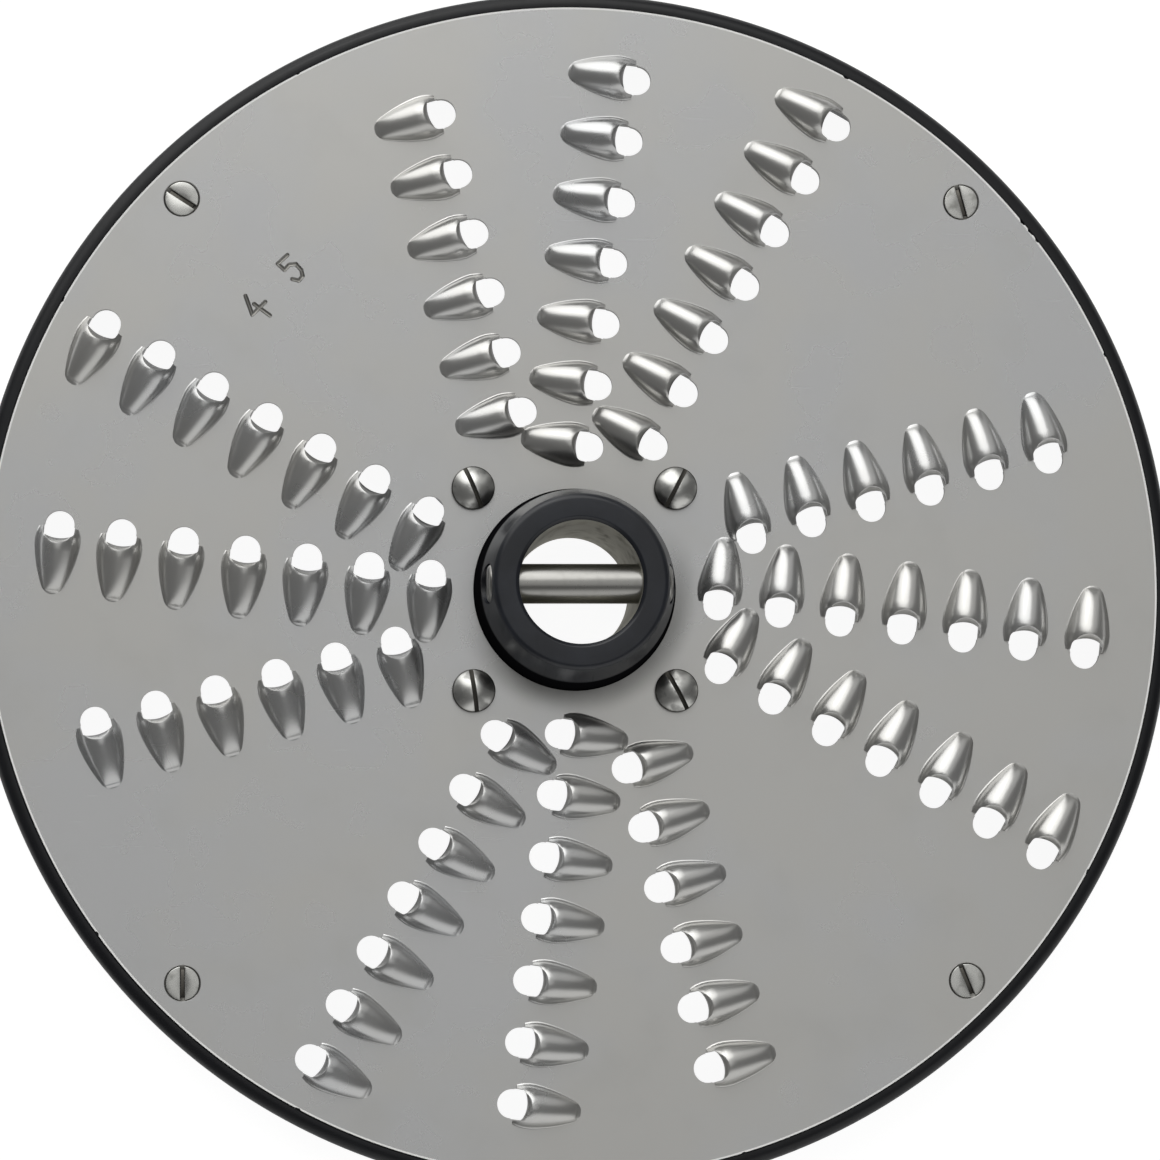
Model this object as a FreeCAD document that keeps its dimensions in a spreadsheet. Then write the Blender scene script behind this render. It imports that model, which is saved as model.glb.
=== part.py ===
import FreeCAD, Part
import math
import os

import Sketcher

# Driving sizes, in millimetres and degrees.
# The disc lies on its foot plane, z = 0, with its axis on Z and its teeth upwards.
SIZES = [
    # Carrier wheel
    ("disc_radius", 92.5),
    ("seat_height", 11.0),
    ("rim_wall", 5.5),
    ("rim_border", 2.35),
    ("rim_shoulder", 1.8),
    ("foot_bevel", 0.8),
    ("sector_count", 4),
    ("spoke_turn", 45.0),
    ("spoke_width", 8.4),
    ("spoke_root", 1.2),
    ("spoke_skin", 1.6),
    # Bush and cross pin
    ("bore_radius", 9.1),
    ("bore_relief", 0.25),
    ("bush_wall", 1.3),
    ("bush_inset", 0.4),
    ("bush_bevel", 0.4),
    ("pin_radius", 3.0),
    ("pin_proud", 0.6),
    ("pin_bevel", 0.4),
    ("pin_drop", 4.1),
    ("relief_below_pin", 0.3),
    ("press_gap", 0.01),
    # Hub, moulded in one with the carrier
    ("hub_wall", 2.4),
    ("crown_taper", 1.9),
    ("base_taper", 0.7),
    ("hub_ledge", 3.1),
    ("waist_rise", 7.0),
    ("hub_rise", 14.0),
    ("mouth_bevel", 0.7),
    # Grating sheet
    ("plate_sheet", 1.0),
    ("plate_proud", 0.4),
    ("plate_gap", 0.15),
    ("edge_bevel", 0.25),
    # Teeth
    ("tooth_hub_gap", 1.48),
    ("tooth_rim_gap", 0.5),
    ("tooth_step", 3.173),
    ("tooth_shift", 0.5),
    ("row_turn", 60.0),
    ("row_spacing", 22.5),
    ("punch_radius", 2.2),
    ("dome_front", 0.6),
    ("dome_radius", 3.3),
    ("dome_tip", 1.2),
    ("tail_flat", 0.1),
    ("tail_gap", 0.05),
    ("dome_wall", 1.1),
    ("cavity_straight", 2.6),
    ("cavity_tip", 0.3),
    ("lip_radius", 3.05),
    ("lip_shift", 0.5),
    # Rim screws, countersunk
    ("rim_screw_inset", 5.0),
    ("rim_head_radius", 2.75),
    ("rim_thread_radius", 1.5),
    ("rim_screw_length", 7.0),
    ("rim_slot_width", 0.8),
    ("rim_slot_depth", 0.6),
    # Hub screws, round headed
    ("hub_screw_outset", 6.6),
    ("hub_boss_radius", 4.2),
    ("hub_head_radius", 3.3),
    ("hub_head_side", 0.9),
    ("hub_head_height", 2.3),
    ("hub_thread_radius", 2.0),
    ("hub_screw_length", 7.0),
    ("hub_slot_width", 1.0),
    ("hub_slot_depth", 1.5),
    ("tip_bevel", 0.4),
    ("screw_gap", 0.1),
    # Threaded inserts in the spokes
    ("rim_insert_wall", 0.8),
    ("hub_insert_wall", 0.9),
    ("insert_length", 4.6),
    ("insert_sink", 0.4),
    ("thread_gap", 0.02),
    ("tip_room", 0.4),
]

# The step out from the hub at which each of a sector's rows of teeth starts.
ROW_STARTS = [1, 0, 2]

# How far each screw was turned when it was driven home, by sector, in degrees.
RIM_SCREW_TURNS = [-75.0, 147.0, 90.0, -68.0]
HUB_SCREW_TURNS = [62.0, -67.0, 98.0, -61.0]

FULL_TURN = 360.0
HALF_TURN = 180.0
QUARTER_TURN = 90.0
ZERO = 1e-9
TOUCH = 1e-6
VOLUME_MATCH = 1e-4

doc = FreeCAD.newDocument("shredding_disc")
sheet = doc.addObject("Spreadsheet::Sheet", "Sizes")
for row_number, (alias, number) in enumerate(SIZES, start=1):
    cell = "A%d" % row_number
    sheet.set(cell, str(number))
    sheet.setAlias(cell, alias)
doc.recompute()


class Dim:
    """A size: its number now, and the same size as text for a bound property."""

    def __init__(self, value, text):
        self.value = value
        self.text = text

    def _join(self, other, sign, value):
        text = other.text if isinstance(other, Dim) else repr(float(other))
        return Dim(value, "(%s %s %s)" % (self.text, sign, text))

    def __add__(self, other):
        return self._join(other, "+", self.value + number_of(other))

    def __sub__(self, other):
        return self._join(other, "-", self.value - number_of(other))

    def __mul__(self, other):
        return self._join(other, "*", self.value * number_of(other))

    def __truediv__(self, other):
        return self._join(other, "/", self.value / number_of(other))

    def __neg__(self):
        return Dim(-self.value, "(0 - %s)" % self.text)


def number_of(item):
    return item.value if isinstance(item, Dim) else float(item)


def size(alias):
    return Dim(float(getattr(sheet, alias)), "Sizes.%s" % alias)


def cosine(angle):
    return Dim(math.cos(math.radians(angle.value)), "cos(%s * 1deg)" % angle.text)


def sine(angle):
    return Dim(math.sin(math.radians(angle.value)), "sin(%s * 1deg)" % angle.text)


def square_root(dim):
    return Dim(math.sqrt(dim.value), "sqrt(%s)" % dim.text)


def lesser(first, second):
    return Dim(min(first.value, second.value), "min(%s; %s)" % (first.text, second.text))


def bind(item, prop, dim):
    item.setExpression(prop, dim.text)


def vector(x, y, z=0.0):
    return FreeCAD.Vector(number_of(x), number_of(y), number_of(z))


NOUGHT = Dim(0.0, "0")

# Levels and radii that follow from the driving sizes.
seat_level = size("seat_height")
plate_top = seat_level + size("plate_sheet")
land_level = plate_top - size("plate_proud")
rim_inner = size("disc_radius") - size("rim_wall")
recess_radius = size("disc_radius") - size("rim_border")
plate_radius = recess_radius - size("plate_gap")

mouth_radius = size("bore_radius") + size("bore_relief")
bush_radius = size("bore_radius") + size("bush_wall")
bush_seat = bush_radius + size("press_gap")
hub_crown = bush_radius + size("hub_wall")
hub_waist = hub_crown + size("crown_taper")
hub_base = hub_waist + size("base_taper")
hub_skirt = hub_base + size("hub_ledge")
hub_top = plate_top + size("hub_rise")
waist_level = plate_top + size("waist_rise")
bush_top = hub_top - size("mouth_bevel")

pin_level = hub_top - size("pin_drop")
pin_seat = size("pin_radius") + size("press_gap")
relief_level = pin_level - size("pin_radius") - size("relief_below_pin")
taper_height = size("hub_rise") - size("waist_rise")
pin_reach = hub_crown + size("crown_taper") * size("pin_drop") / taper_height + size("pin_proud")

rim_screw_circle = plate_radius - size("rim_screw_inset")
hub_screw_circle = hub_base + size("hub_screw_outset")
rim_hole_floor = plate_top - size("rim_screw_length") - size("tip_room")
hub_hole_floor = plate_top - size("hub_screw_length") - size("tip_room")
spoke_floor = lesser(rim_hole_floor, hub_hole_floor) - size("spoke_skin")

first_tooth = hub_skirt + size("punch_radius") + size("tooth_hub_gap")
last_tooth = rim_inner - size("dome_radius") - size("tooth_rim_gap")

# The innermost tooth's tail ends just short of the next row's first tooth.
dome_front = size("tooth_shift") + size("dome_front")
next_corner = first_tooth + size("tooth_step") * ROW_STARTS[-1] - size("dome_radius")
tail_room = next_corner * sine(size("row_spacing")) + dome_front * cosine(size("row_spacing"))
dome_length = tail_room - dome_front - size("tail_gap")


# Sketch helpers
def origin_feature(body, role):
    return next(item for item in body.Origin.OriginFeatures if item.Role == role)


def new_body(label):
    body = doc.addObject("PartDesign::Body", label)
    body.Label = label
    return body


def new_sketch(body, name, plane, turn=None, shift=None, lift=None):
    """A sketch on one of the body's own planes.

    turn swings it about the body's Z axis, shift moves its origin outwards in its own
    plane, and lift raises it along Z.
    """
    sketch = body.newObject("Sketcher::SketchObject", name)
    sketch.AttachmentSupport = [(origin_feature(body, plane), "")]
    sketch.MapMode = "FlatFace"
    upright = plane != "XY_Plane"
    if turn is not None:
        swing = FreeCAD.Vector(0, 1, 0) if upright else FreeCAD.Vector(0, 0, 1)
        sketch.AttachmentOffset = FreeCAD.Placement(FreeCAD.Vector(), FreeCAD.Rotation(swing, turn.value))
        bind(sketch, "AttachmentOffset.Rotation.Angle", turn)
    if shift is not None and turn is not None:
        across = "z" if upright else "y"
        sign = NOUGHT - shift if upright else shift
        bind(sketch, "AttachmentOffset.Base.x", shift * cosine(turn))
        bind(sketch, "AttachmentOffset.Base.%s" % across, sign * sine(turn))
    if lift is not None:
        bind(sketch, "AttachmentOffset.Base.%s" % ("y" if upright else "z"), lift)
    return sketch


def fix_coordinate(sketch, kind, geometry, point, dim, axis):
    if abs(dim.value) < ZERO:
        sketch.addConstraint(Sketcher.Constraint("PointOnObject", geometry, point, axis))
        return
    if dim.value < 0:
        index = sketch.addConstraint(Sketcher.Constraint(kind, geometry, point, -1, 1, -dim.value))
        dim = -dim
    else:
        index = sketch.addConstraint(Sketcher.Constraint(kind, -1, 1, geometry, point, dim.value))
    sketch.setExpression("Constraints[%d]" % index, dim.text)


def fix_point(sketch, geometry, point, x, y):
    fix_coordinate(sketch, "DistanceX", geometry, point, x, -2)
    fix_coordinate(sketch, "DistanceY", geometry, point, y, -1)


def arc_between(start, end, radius):
    """The short arc from start to end. A positive radius puts its centre on the left."""
    middle = (start + end) * 0.5
    chord = end - start
    rise = math.sqrt(radius * radius - chord.Length * chord.Length / 4)
    left = FreeCAD.Vector(-chord.y, chord.x, 0).normalize()
    side = 1 if radius > 0 else -1
    centre = middle + left * (side * rise)
    crown = centre + (middle - centre).normalize() * abs(radius)
    return Part.Arc(start, crown, end)


def outline(sketch, corners):
    """A closed outline. A corner is (x, y), or (x, y, radius) where an arc leads on from it."""
    spots = [vector(corner[0], corner[1]) for corner in corners]
    starts = []
    for index, corner in enumerate(corners):
        start = spots[index]
        end = spots[(index + 1) % len(corners)]
        if len(corner) == 2:
            sketch.addGeometry(Part.LineSegment(start, end), False)
            starts.append((1, 2))
            continue
        radius = corner[2]
        arc = arc_between(start, end, radius.value)
        sketch.addGeometry(arc, False)
        forward = (sketch.Geometry[index].StartPoint - start).Length < (arc.EndPoint - arc.StartPoint).Length / 2
        starts.append((1, 2) if forward else (2, 1))
    for index, corner in enumerate(corners):
        following = (index + 1) % len(corners)
        sketch.addConstraint(
            Sketcher.Constraint("Coincident", index, starts[index][1], following, starts[following][0])
        )
        fix_point(sketch, index, starts[index][0], corner[0], corner[1])
        if len(corner) == 3:
            bend = corner[2] if corner[2].value > 0 else -corner[2]
            number = sketch.addConstraint(Sketcher.Constraint("Radius", index, bend.value))
            sketch.setExpression("Constraints[%d]" % number, bend.text)


def circle(sketch, x, y, radius):
    index = sketch.addGeometry(Part.Circle(vector(x, y), FreeCAD.Vector(0, 0, 1), radius.value), False)
    fix_point(sketch, index, 3, x, y)
    number = sketch.addConstraint(Sketcher.Constraint("Radius", index, radius.value))
    sketch.setExpression("Constraints[%d]" % number, radius.text)


def rectangle(sketch, low_x, low_y, high_x, high_y):
    outline(sketch, [(low_x, low_y), (high_x, low_y), (high_x, high_y), (low_x, high_y)])


# Feature helpers
def turned(body, name, sketch, axis="V_Axis", angle=FULL_TURN, cut=False, backwards=False):
    kind = "PartDesign::Groove" if cut else "PartDesign::Revolution"
    feature = body.newObject(kind, name)
    feature.Profile = sketch
    feature.ReferenceAxis = (sketch, [axis])
    feature.Angle = angle
    feature.Reversed = backwards
    doc.recompute()
    return feature


def padded(body, name, sketch, length):
    feature = body.newObject("PartDesign::Pad", name)
    feature.Profile = sketch
    bind(feature, "Length", length)
    doc.recompute()
    return feature


def pocketed(body, name, sketch, length, upwards=False, both_ways=False):
    feature = body.newObject("PartDesign::Pocket", name)
    feature.Profile = sketch
    feature.Reversed = upwards
    feature.Midplane = both_ways
    bind(feature, "Length", length)
    doc.recompute()
    return feature


def around_axis(body, name, features, count):
    pattern = body.newObject("PartDesign::PolarPattern", name)
    pattern.Originals = features
    pattern.Axis = (origin_feature(body, "Z_Axis"), [""])
    pattern.Angle = FULL_TURN
    bind(pattern, "Occurrences", count)
    body.Tip = pattern
    doc.recompute()
    return pattern


def screw_hole_outline(thread, insert_wall, floor):
    """The stepped blind hole that holds an insert and clears the screw's tip below it."""
    pocket = thread + size("thread_gap") + insert_wall + size("press_gap")
    clear = thread + size("screw_gap")
    insert_foot = seat_level - size("insert_sink") - size("insert_length")
    return [
        (NOUGHT, floor),
        (clear, floor),
        (clear, insert_foot),
        (pocket, insert_foot),
        (pocket, seat_level),
        (NOUGHT, seat_level),
    ]


def cut_pin_hole(body):
    """The cross hole for the pin, right through the hub or the bush."""
    plan = new_sketch(body, "pin_hole_plan", "YZ_Plane")
    circle(plan, NOUGHT, pin_level, pin_seat)
    pocketed(body, "pin_hole", plan, pin_reach * 2, both_ways=True)


# The black carrier: rim, spokes and hub in one moulding
def build_carrier():
    body = new_body("carrier")

    rim = new_sketch(body, "rim_section", "XZ_Plane")
    bevel = size("foot_bevel")
    shoulder = size("rim_shoulder")
    edge = size("disc_radius")
    outline(rim, [
        (rim_inner + bevel, NOUGHT),
        (edge - bevel, NOUGHT),
        (edge, bevel),
        (edge, land_level - shoulder, shoulder),
        (edge - shoulder, land_level),
        (recess_radius, land_level),
        (recess_radius, seat_level),
        (rim_inner, seat_level),
        (rim_inner, bevel),
    ])
    turned(body, "rim", rim)

    hub = new_sketch(body, "hub_section", "XZ_Plane")
    outline(hub, [
        (bush_seat, NOUGHT),
        (hub_skirt - bevel, NOUGHT),
        (hub_skirt, bevel),
        (hub_skirt, seat_level),
        (hub_base, seat_level),
        (hub_base, plate_top),
        (hub_waist, waist_level),
        (hub_crown, hub_top),
        (mouth_radius + size("mouth_bevel"), hub_top),
        (mouth_radius, bush_top),
        (bush_seat, bush_top),
    ])

    spoke = new_sketch(body, "spoke_plan", "XY_Plane", turn=size("spoke_turn"), lift=spoke_floor)
    half_width = size("spoke_width") / 2
    root = size("spoke_root")
    rectangle(spoke, hub_skirt - root, -half_width, rim_inner + root, half_width)
    boss = new_sketch(body, "boss_plan", "XY_Plane", turn=size("spoke_turn"), lift=spoke_floor)
    circle(boss, hub_screw_circle, NOUGHT, size("hub_boss_radius"))

    turned(body, "hub", hub)
    spoke_depth = seat_level - spoke_floor
    features = [padded(body, "spoke", spoke, spoke_depth), padded(body, "boss", boss, spoke_depth)]
    around_axis(body, "spokes", features, size("sector_count"))

    rim_hole = screw_hole_outline(size("rim_thread_radius"), size("rim_insert_wall"), rim_hole_floor)
    hub_hole = screw_hole_outline(size("hub_thread_radius"), size("hub_insert_wall"), hub_hole_floor)
    holes = []
    for name, reach, corners in (("rim", rim_screw_circle, rim_hole), ("hub", hub_screw_circle, hub_hole)):
        section = new_sketch(body, name + "_hole_section", "XZ_Plane", turn=size("spoke_turn"), shift=reach)
        outline(section, corners)
        holes.append(turned(body, name + "_screw_hole", section, cut=True))
    around_axis(body, "screw_holes", holes, size("sector_count"))
    cut_pin_hole(body)
    return body


# The metal bush in the hub's bore
def build_bush():
    body = new_body("hub_bush")
    section = new_sketch(body, "bush_section", "XZ_Plane")
    outline(section, [
        (size("bore_radius") + size("bush_bevel"), size("bush_inset")),
        (bush_radius, size("bush_inset")),
        (bush_radius, bush_top - size("press_gap")),
        (mouth_radius, bush_top - size("press_gap")),
        (mouth_radius, relief_level),
        (size("bore_radius"), relief_level),
        (size("bore_radius"), size("bush_inset") + size("bush_bevel")),
    ])
    turned(body, "bush", section)
    cut_pin_hole(body)
    return body


# The steel pin across the bore, which the shaft's slot drives
def build_pin():
    body = new_body("drive_pin")
    section = new_sketch(body, "pin_section", "XZ_Plane", lift=pin_level)
    bevel = size("pin_bevel")
    outline(section, [
        (-pin_reach, NOUGHT),
        (pin_reach, NOUGHT),
        (pin_reach, size("pin_radius") - bevel),
        (pin_reach - bevel, size("pin_radius")),
        (bevel - pin_reach, size("pin_radius")),
        (-pin_reach, size("pin_radius") - bevel),
    ])
    turned(body, "pin", section, axis="H_Axis")
    return body


# The sheet before its teeth are pressed
def build_blank():
    body = new_body("plate_blank")
    section = new_sketch(body, "sheet_section", "XZ_Plane")
    opening = hub_base + size("plate_gap")
    outline(section, [
        (opening, seat_level),
        (plate_radius, seat_level),
        (plate_radius, plate_top - size("edge_bevel")),
        (plate_radius - size("edge_bevel"), plate_top),
        (opening, plate_top),
    ])
    turned(body, "sheet", section)

    sink = new_sketch(
        body, "countersink_section", "XZ_Plane", turn=size("spoke_turn"), shift=rim_screw_circle
    )
    mouth = size("rim_head_radius") + size("press_gap")
    outline(sink, [
        (NOUGHT, seat_level),
        (mouth - size("plate_sheet"), seat_level),
        (mouth, plate_top),
        (NOUGHT, plate_top),
    ])
    countersink = turned(body, "countersink", sink, cut=True)

    clear = new_sketch(body, "clearance_plan", "XY_Plane", turn=size("spoke_turn"), lift=plate_top)
    circle(clear, hub_screw_circle, NOUGHT, size("hub_thread_radius") + size("screw_gap"))
    clearance = pocketed(body, "clearance", clear, size("plate_sheet"))
    around_axis(body, "plate_holes", [countersink, clearance], size("sector_count"))
    return body


# One pressed tooth on a patch of sheet, its punched hole at the origin and its tail along X
def build_tooth():
    body = new_body("tooth_form")
    front = size("dome_front")
    length = dome_length
    radius = size("dome_radius")
    tip = size("dome_tip")
    margin = radius * 2

    patch = new_sketch(body, "patch_plan", "XY_Plane", lift=-size("plate_sheet"))
    rectangle(patch, -margin, -margin, front + length + margin, margin)
    padded(body, "patch", patch, size("plate_sheet"))

    dome = new_sketch(body, "dome_section", "XY_Plane")
    reach = length - tip
    crown = (reach * reach + radius * radius - tip * tip) / ((radius - tip) * 2)
    joint_x = front + reach + tip * reach / (crown - tip)
    joint_y = tip * (crown - radius) / (crown - tip)
    flat = size("tail_flat")
    tail = front + reach + square_root(tip * tip - flat * flat)
    outline(dome, [
        (front, NOUGHT),
        (tail, NOUGHT),
        (tail, flat, tip),
        (joint_x, joint_y, crown),
        (front, radius),
    ])
    turned(body, "dome", dome, axis="H_Axis", angle=HALF_TURN)

    inside = radius - size("dome_wall")
    shoulder = front + size("cavity_straight")
    end = front + length - size("dome_wall")
    cavity = new_sketch(body, "cavity_section", "XY_Plane")
    outline(cavity, [
        (front, NOUGHT),
        (end, NOUGHT),
        (end, size("cavity_tip")),
        (shoulder, inside),
        (front, inside),
    ])
    turned(body, "cavity", cavity, axis="H_Axis", angle=HALF_TURN, cut=True)

    draw = new_sketch(body, "drawn_plan", "XY_Plane")
    outline(draw, [
        (front, -inside),
        (shoulder, -inside),
        (end, -size("cavity_tip")),
        (end, size("cavity_tip")),
        (shoulder, inside),
        (front, inside),
    ])
    pocketed(body, "drawn_opening", draw, size("plate_sheet"))

    lip = new_sketch(body, "lip_plan", "XY_Plane")
    circle(lip, -size("lip_shift"), NOUGHT, size("lip_radius"))
    pocketed(body, "lip", lip, radius * 2, upwards=True)

    punch = new_sketch(body, "punch_plan", "XY_Plane")
    circle(punch, NOUGHT, NOUGHT, size("punch_radius"))
    pocketed(body, "punched_hole", punch, size("plate_sheet"))
    return body


def flat_face_at(shape, level):
    """The largest flat face of a shape that lies level at this height."""
    level_faces = [
        face for face in shape.Faces
        if face.BoundBox.ZLength < TOUCH and abs(face.BoundBox.ZMin - level) < TOUCH
    ]
    return max(level_faces, key=lambda face: face.Area)


def inner_wires(face):
    return [wire for wire in face.Wires if not wire.isSame(face.OuterWire)]


def is_skin(face, patch):
    """Whether a face of the tooth form lies inside the patch's own four edges."""
    box = face.BoundBox
    inside_along = box.XMax - patch.XMin > TOUCH and patch.XMax - box.XMin > TOUCH
    inside_across = box.YMax - patch.YMin > TOUCH and patch.YMax - box.YMin > TOUCH
    level = box.ZLength < TOUCH and (abs(box.ZMin - patch.ZMin) < TOUCH or abs(box.ZMin) < TOUCH)
    spans_patch = level and patch.XLength - box.XLength < TOUCH
    return inside_along and inside_across and not spans_patch


def tooth_places():
    """Where each tooth's punched hole sits, turned so that its tail runs counter-clockwise."""
    upright = FreeCAD.Vector(0, 0, 1)
    sectors = int(size("sector_count").value)
    for sector in range(sectors):
        for place, first_step in enumerate(ROW_STARTS):
            turn = size("row_turn").value + place * size("row_spacing").value
            outwards = FreeCAD.Rotation(upright, turn + sector * FULL_TURN / sectors)
            facing = outwards.multiply(FreeCAD.Rotation(upright, QUARTER_TURN))
            reach = first_tooth.value + first_step * size("tooth_step").value
            while reach <= last_tooth.value:
                spot = FreeCAD.Vector(reach, size("tooth_shift").value, plate_top.value)
                yield FreeCAD.Placement(outwards.multVec(spot), facing)
                reach += len(ROW_STARTS) * size("tooth_step").value


# The finished sheet: every tooth's skin set into the blank's top and bottom faces
def build_plate(blank, tooth):
    top = flat_face_at(blank.Shape, plate_top.value)
    bottom = flat_face_at(blank.Shape, seat_level.value)
    tooth_top = flat_face_at(tooth.Shape, 0.0)
    tooth_bottom = flat_face_at(tooth.Shape, -size("plate_sheet").value)
    patch = tooth_bottom.BoundBox
    skin = [face for face in tooth.Shape.Faces if is_skin(face, patch)]
    faces = [face for face in blank.Shape.Faces if not (face.isSame(top) or face.isSame(bottom))]
    top_wires = list(top.Wires)
    bottom_wires = list(bottom.Wires)
    places = list(tooth_places())
    for place in places:
        matrix = place.toMatrix()
        faces += [face.transformed(matrix, True) for face in skin]
        top_wires += [wire.transformed(matrix, True) for wire in inner_wires(tooth_top)]
        bottom_wires += [wire.transformed(matrix, True) for wire in inner_wires(tooth_bottom)]
    for wires in (top_wires, bottom_wires):
        faces += Part.makeFace(wires, "Part::FaceMakerBullseye").Faces
    shell = Part.makeShell(faces)
    shell.sewShape()
    solid = Part.makeSolid(shell)
    if solid.Volume < 0:
        solid.reverse()

    patch_volume = patch.XLength * patch.YLength * size("plate_sheet").value
    expected = blank.Shape.Volume + len(places) * (tooth.Shape.Volume - patch_volume)
    if not math.isclose(solid.Volume, expected, rel_tol=VOLUME_MATCH):
        raise ValueError("the toothed sheet holds %.1f, not %.1f" % (solid.Volume, expected))
    plate = doc.addObject("Part::Feature", "grating_plate")
    plate.Label = "grating_plate"
    plate.Shape = solid
    return plate


def build_screw(label, head, head_width, thread, length, slot_width, slot_depth):
    """A slotted screw that seats at its own z = 0, with its head's outline in head."""
    body = new_body(label)
    section = new_sketch(body, "screw_section", "XZ_Plane")
    bevel = size("tip_bevel")
    outline(section, [
        (NOUGHT, -length),
        (thread - bevel, -length),
        (thread, bevel - length),
        *head,
    ])
    turned(body, "screw", section)
    top = head[-1][1]
    slot = new_sketch(body, "slot_plan", "XY_Plane", lift=top)
    half = slot_width / 2
    rectangle(slot, -head_width, -half, head_width, half)
    pocketed(body, "slot", slot, slot_depth)
    return body


def build_insert(label, thread, wall):
    """A plain brass sleeve with its top at its own z = 0."""
    body = new_body(label)
    section = new_sketch(body, "insert_section", "XZ_Plane")
    bore = thread + size("thread_gap")
    outline(section, [
        (bore, -size("insert_length")),
        (bore + wall, -size("insert_length")),
        (bore + wall, NOUGHT),
        (bore, NOUGHT),
    ])
    turned(body, "insert", section)
    return body


def place_on_circle(body, radius, sector, level, turn=0.0):
    """Set a body on a screw circle, in one sector of the disc, turned about its own axis."""
    swing = sector * FULL_TURN
    angle = size("spoke_turn") + Dim(swing, repr(swing)) / size("sector_count")
    body.Placement = FreeCAD.Placement(FreeCAD.Vector(), FreeCAD.Rotation(FreeCAD.Vector(0, 0, 1), turn))
    bind(body, "Placement.Base.x", radius * cosine(angle))
    bind(body, "Placement.Base.y", radius * sine(angle))
    bind(body, "Placement.Base.z", level)
    return body


def rim_head_outline():
    depth = size("rim_head_radius") - size("rim_thread_radius")
    return [
        (size("rim_thread_radius"), -depth),
        (size("rim_head_radius"), NOUGHT),
        (NOUGHT, NOUGHT),
    ]


def hub_head_outline():
    side = size("hub_head_side")
    swell = size("hub_head_height") - side
    radius = size("hub_head_radius")
    crown = (radius * radius + swell * swell) / (swell * 2)
    return [
        (size("hub_thread_radius"), NOUGHT),
        (radius, NOUGHT),
        (radius, side, crown),
        (NOUGHT, size("hub_head_height")),
    ]


# One screw and one insert at each end of every spoke
def build_fasteners():
    insert_top = seat_level - size("insert_sink")
    pieces = []
    for sector in range(int(size("sector_count").value)):
        number = sector + 1
        rim_turn = RIM_SCREW_TURNS[sector % len(RIM_SCREW_TURNS)]
        hub_turn = HUB_SCREW_TURNS[sector % len(HUB_SCREW_TURNS)]
        rim_screw = build_screw(
            "rim_screw_%d" % number, rim_head_outline(), size("rim_head_radius"),
            size("rim_thread_radius"), size("rim_screw_length"),
            size("rim_slot_width"), size("rim_slot_depth"),
        )
        hub_screw = build_screw(
            "hub_screw_%d" % number, hub_head_outline(), size("hub_head_radius"),
            size("hub_thread_radius"), size("hub_screw_length"),
            size("hub_slot_width"), size("hub_slot_depth"),
        )
        rim_insert = build_insert(
            "rim_insert_%d" % number, size("rim_thread_radius"), size("rim_insert_wall")
        )
        hub_insert = build_insert(
            "hub_insert_%d" % number, size("hub_thread_radius"), size("hub_insert_wall")
        )
        pieces += [
            place_on_circle(rim_screw, rim_screw_circle, sector, plate_top, rim_turn),
            place_on_circle(hub_screw, hub_screw_circle, sector, plate_top, hub_turn),
            place_on_circle(rim_insert, rim_screw_circle, sector, insert_top),
            place_on_circle(hub_insert, hub_screw_circle, sector, insert_top),
        ]
    return pieces


def check_document(pieces):
    for item in doc.Objects:
        if "Invalid" in item.State or "Error" in item.State:
            raise ValueError("%s did not build: %s" % (item.Label, item.State))
    for piece in pieces:
        shape = piece.Shape
        if shape.isNull() or not shape.isValid() or len(shape.Solids) != 1:
            raise ValueError("%s is not one valid solid" % piece.Label)
        print("%-16s %10.2f cubic mm" % (piece.Label, shape.Volume))


blank = build_blank()
tooth = build_tooth()
pieces = [build_carrier(), build_bush(), build_pin(), build_plate(blank, tooth)] + build_fasteners()
doc.recompute()
check_document(pieces)
os.makedirs("parts", exist_ok=True)
for piece in pieces:
    piece.Shape.exportStep("parts/%s.step" % piece.Label)
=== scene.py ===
"""A shredding disc with its steel sheet, black carrier, cross pin and screws, dressed and lit."""
import logging
import math
import random
from collections.abc import Callable, Iterator, Sequence
from contextlib import contextmanager
from dataclasses import dataclass, field
from enum import Enum

import bmesh
import bpy
from mathutils import Matrix, Vector


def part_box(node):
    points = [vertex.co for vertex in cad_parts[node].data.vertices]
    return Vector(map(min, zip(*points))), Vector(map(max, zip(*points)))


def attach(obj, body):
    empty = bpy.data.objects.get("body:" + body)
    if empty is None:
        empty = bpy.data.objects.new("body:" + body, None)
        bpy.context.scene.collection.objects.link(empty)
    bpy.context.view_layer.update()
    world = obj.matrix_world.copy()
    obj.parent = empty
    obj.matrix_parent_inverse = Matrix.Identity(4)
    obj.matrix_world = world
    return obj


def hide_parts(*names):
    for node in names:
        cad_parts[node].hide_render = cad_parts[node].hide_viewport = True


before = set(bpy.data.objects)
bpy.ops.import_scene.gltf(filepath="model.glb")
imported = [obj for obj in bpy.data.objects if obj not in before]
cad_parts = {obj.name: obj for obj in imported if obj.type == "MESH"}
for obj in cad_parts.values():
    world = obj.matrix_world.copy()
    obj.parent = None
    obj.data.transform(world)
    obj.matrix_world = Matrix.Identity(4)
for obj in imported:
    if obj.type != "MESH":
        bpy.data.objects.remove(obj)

LOG = logging.getLogger("shredding_disc")
MM = 0.001
WELD = 1e-7
DOUBLES = WELD * 10
CLOSE = WELD * 100
DIAGONALS = (45.0, 135.0, 225.0, 315.0)
Point = tuple[float, float]
Triple = tuple[float, float, float]
Colour = tuple[float, float, float]


# Shader arithmetic


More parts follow.
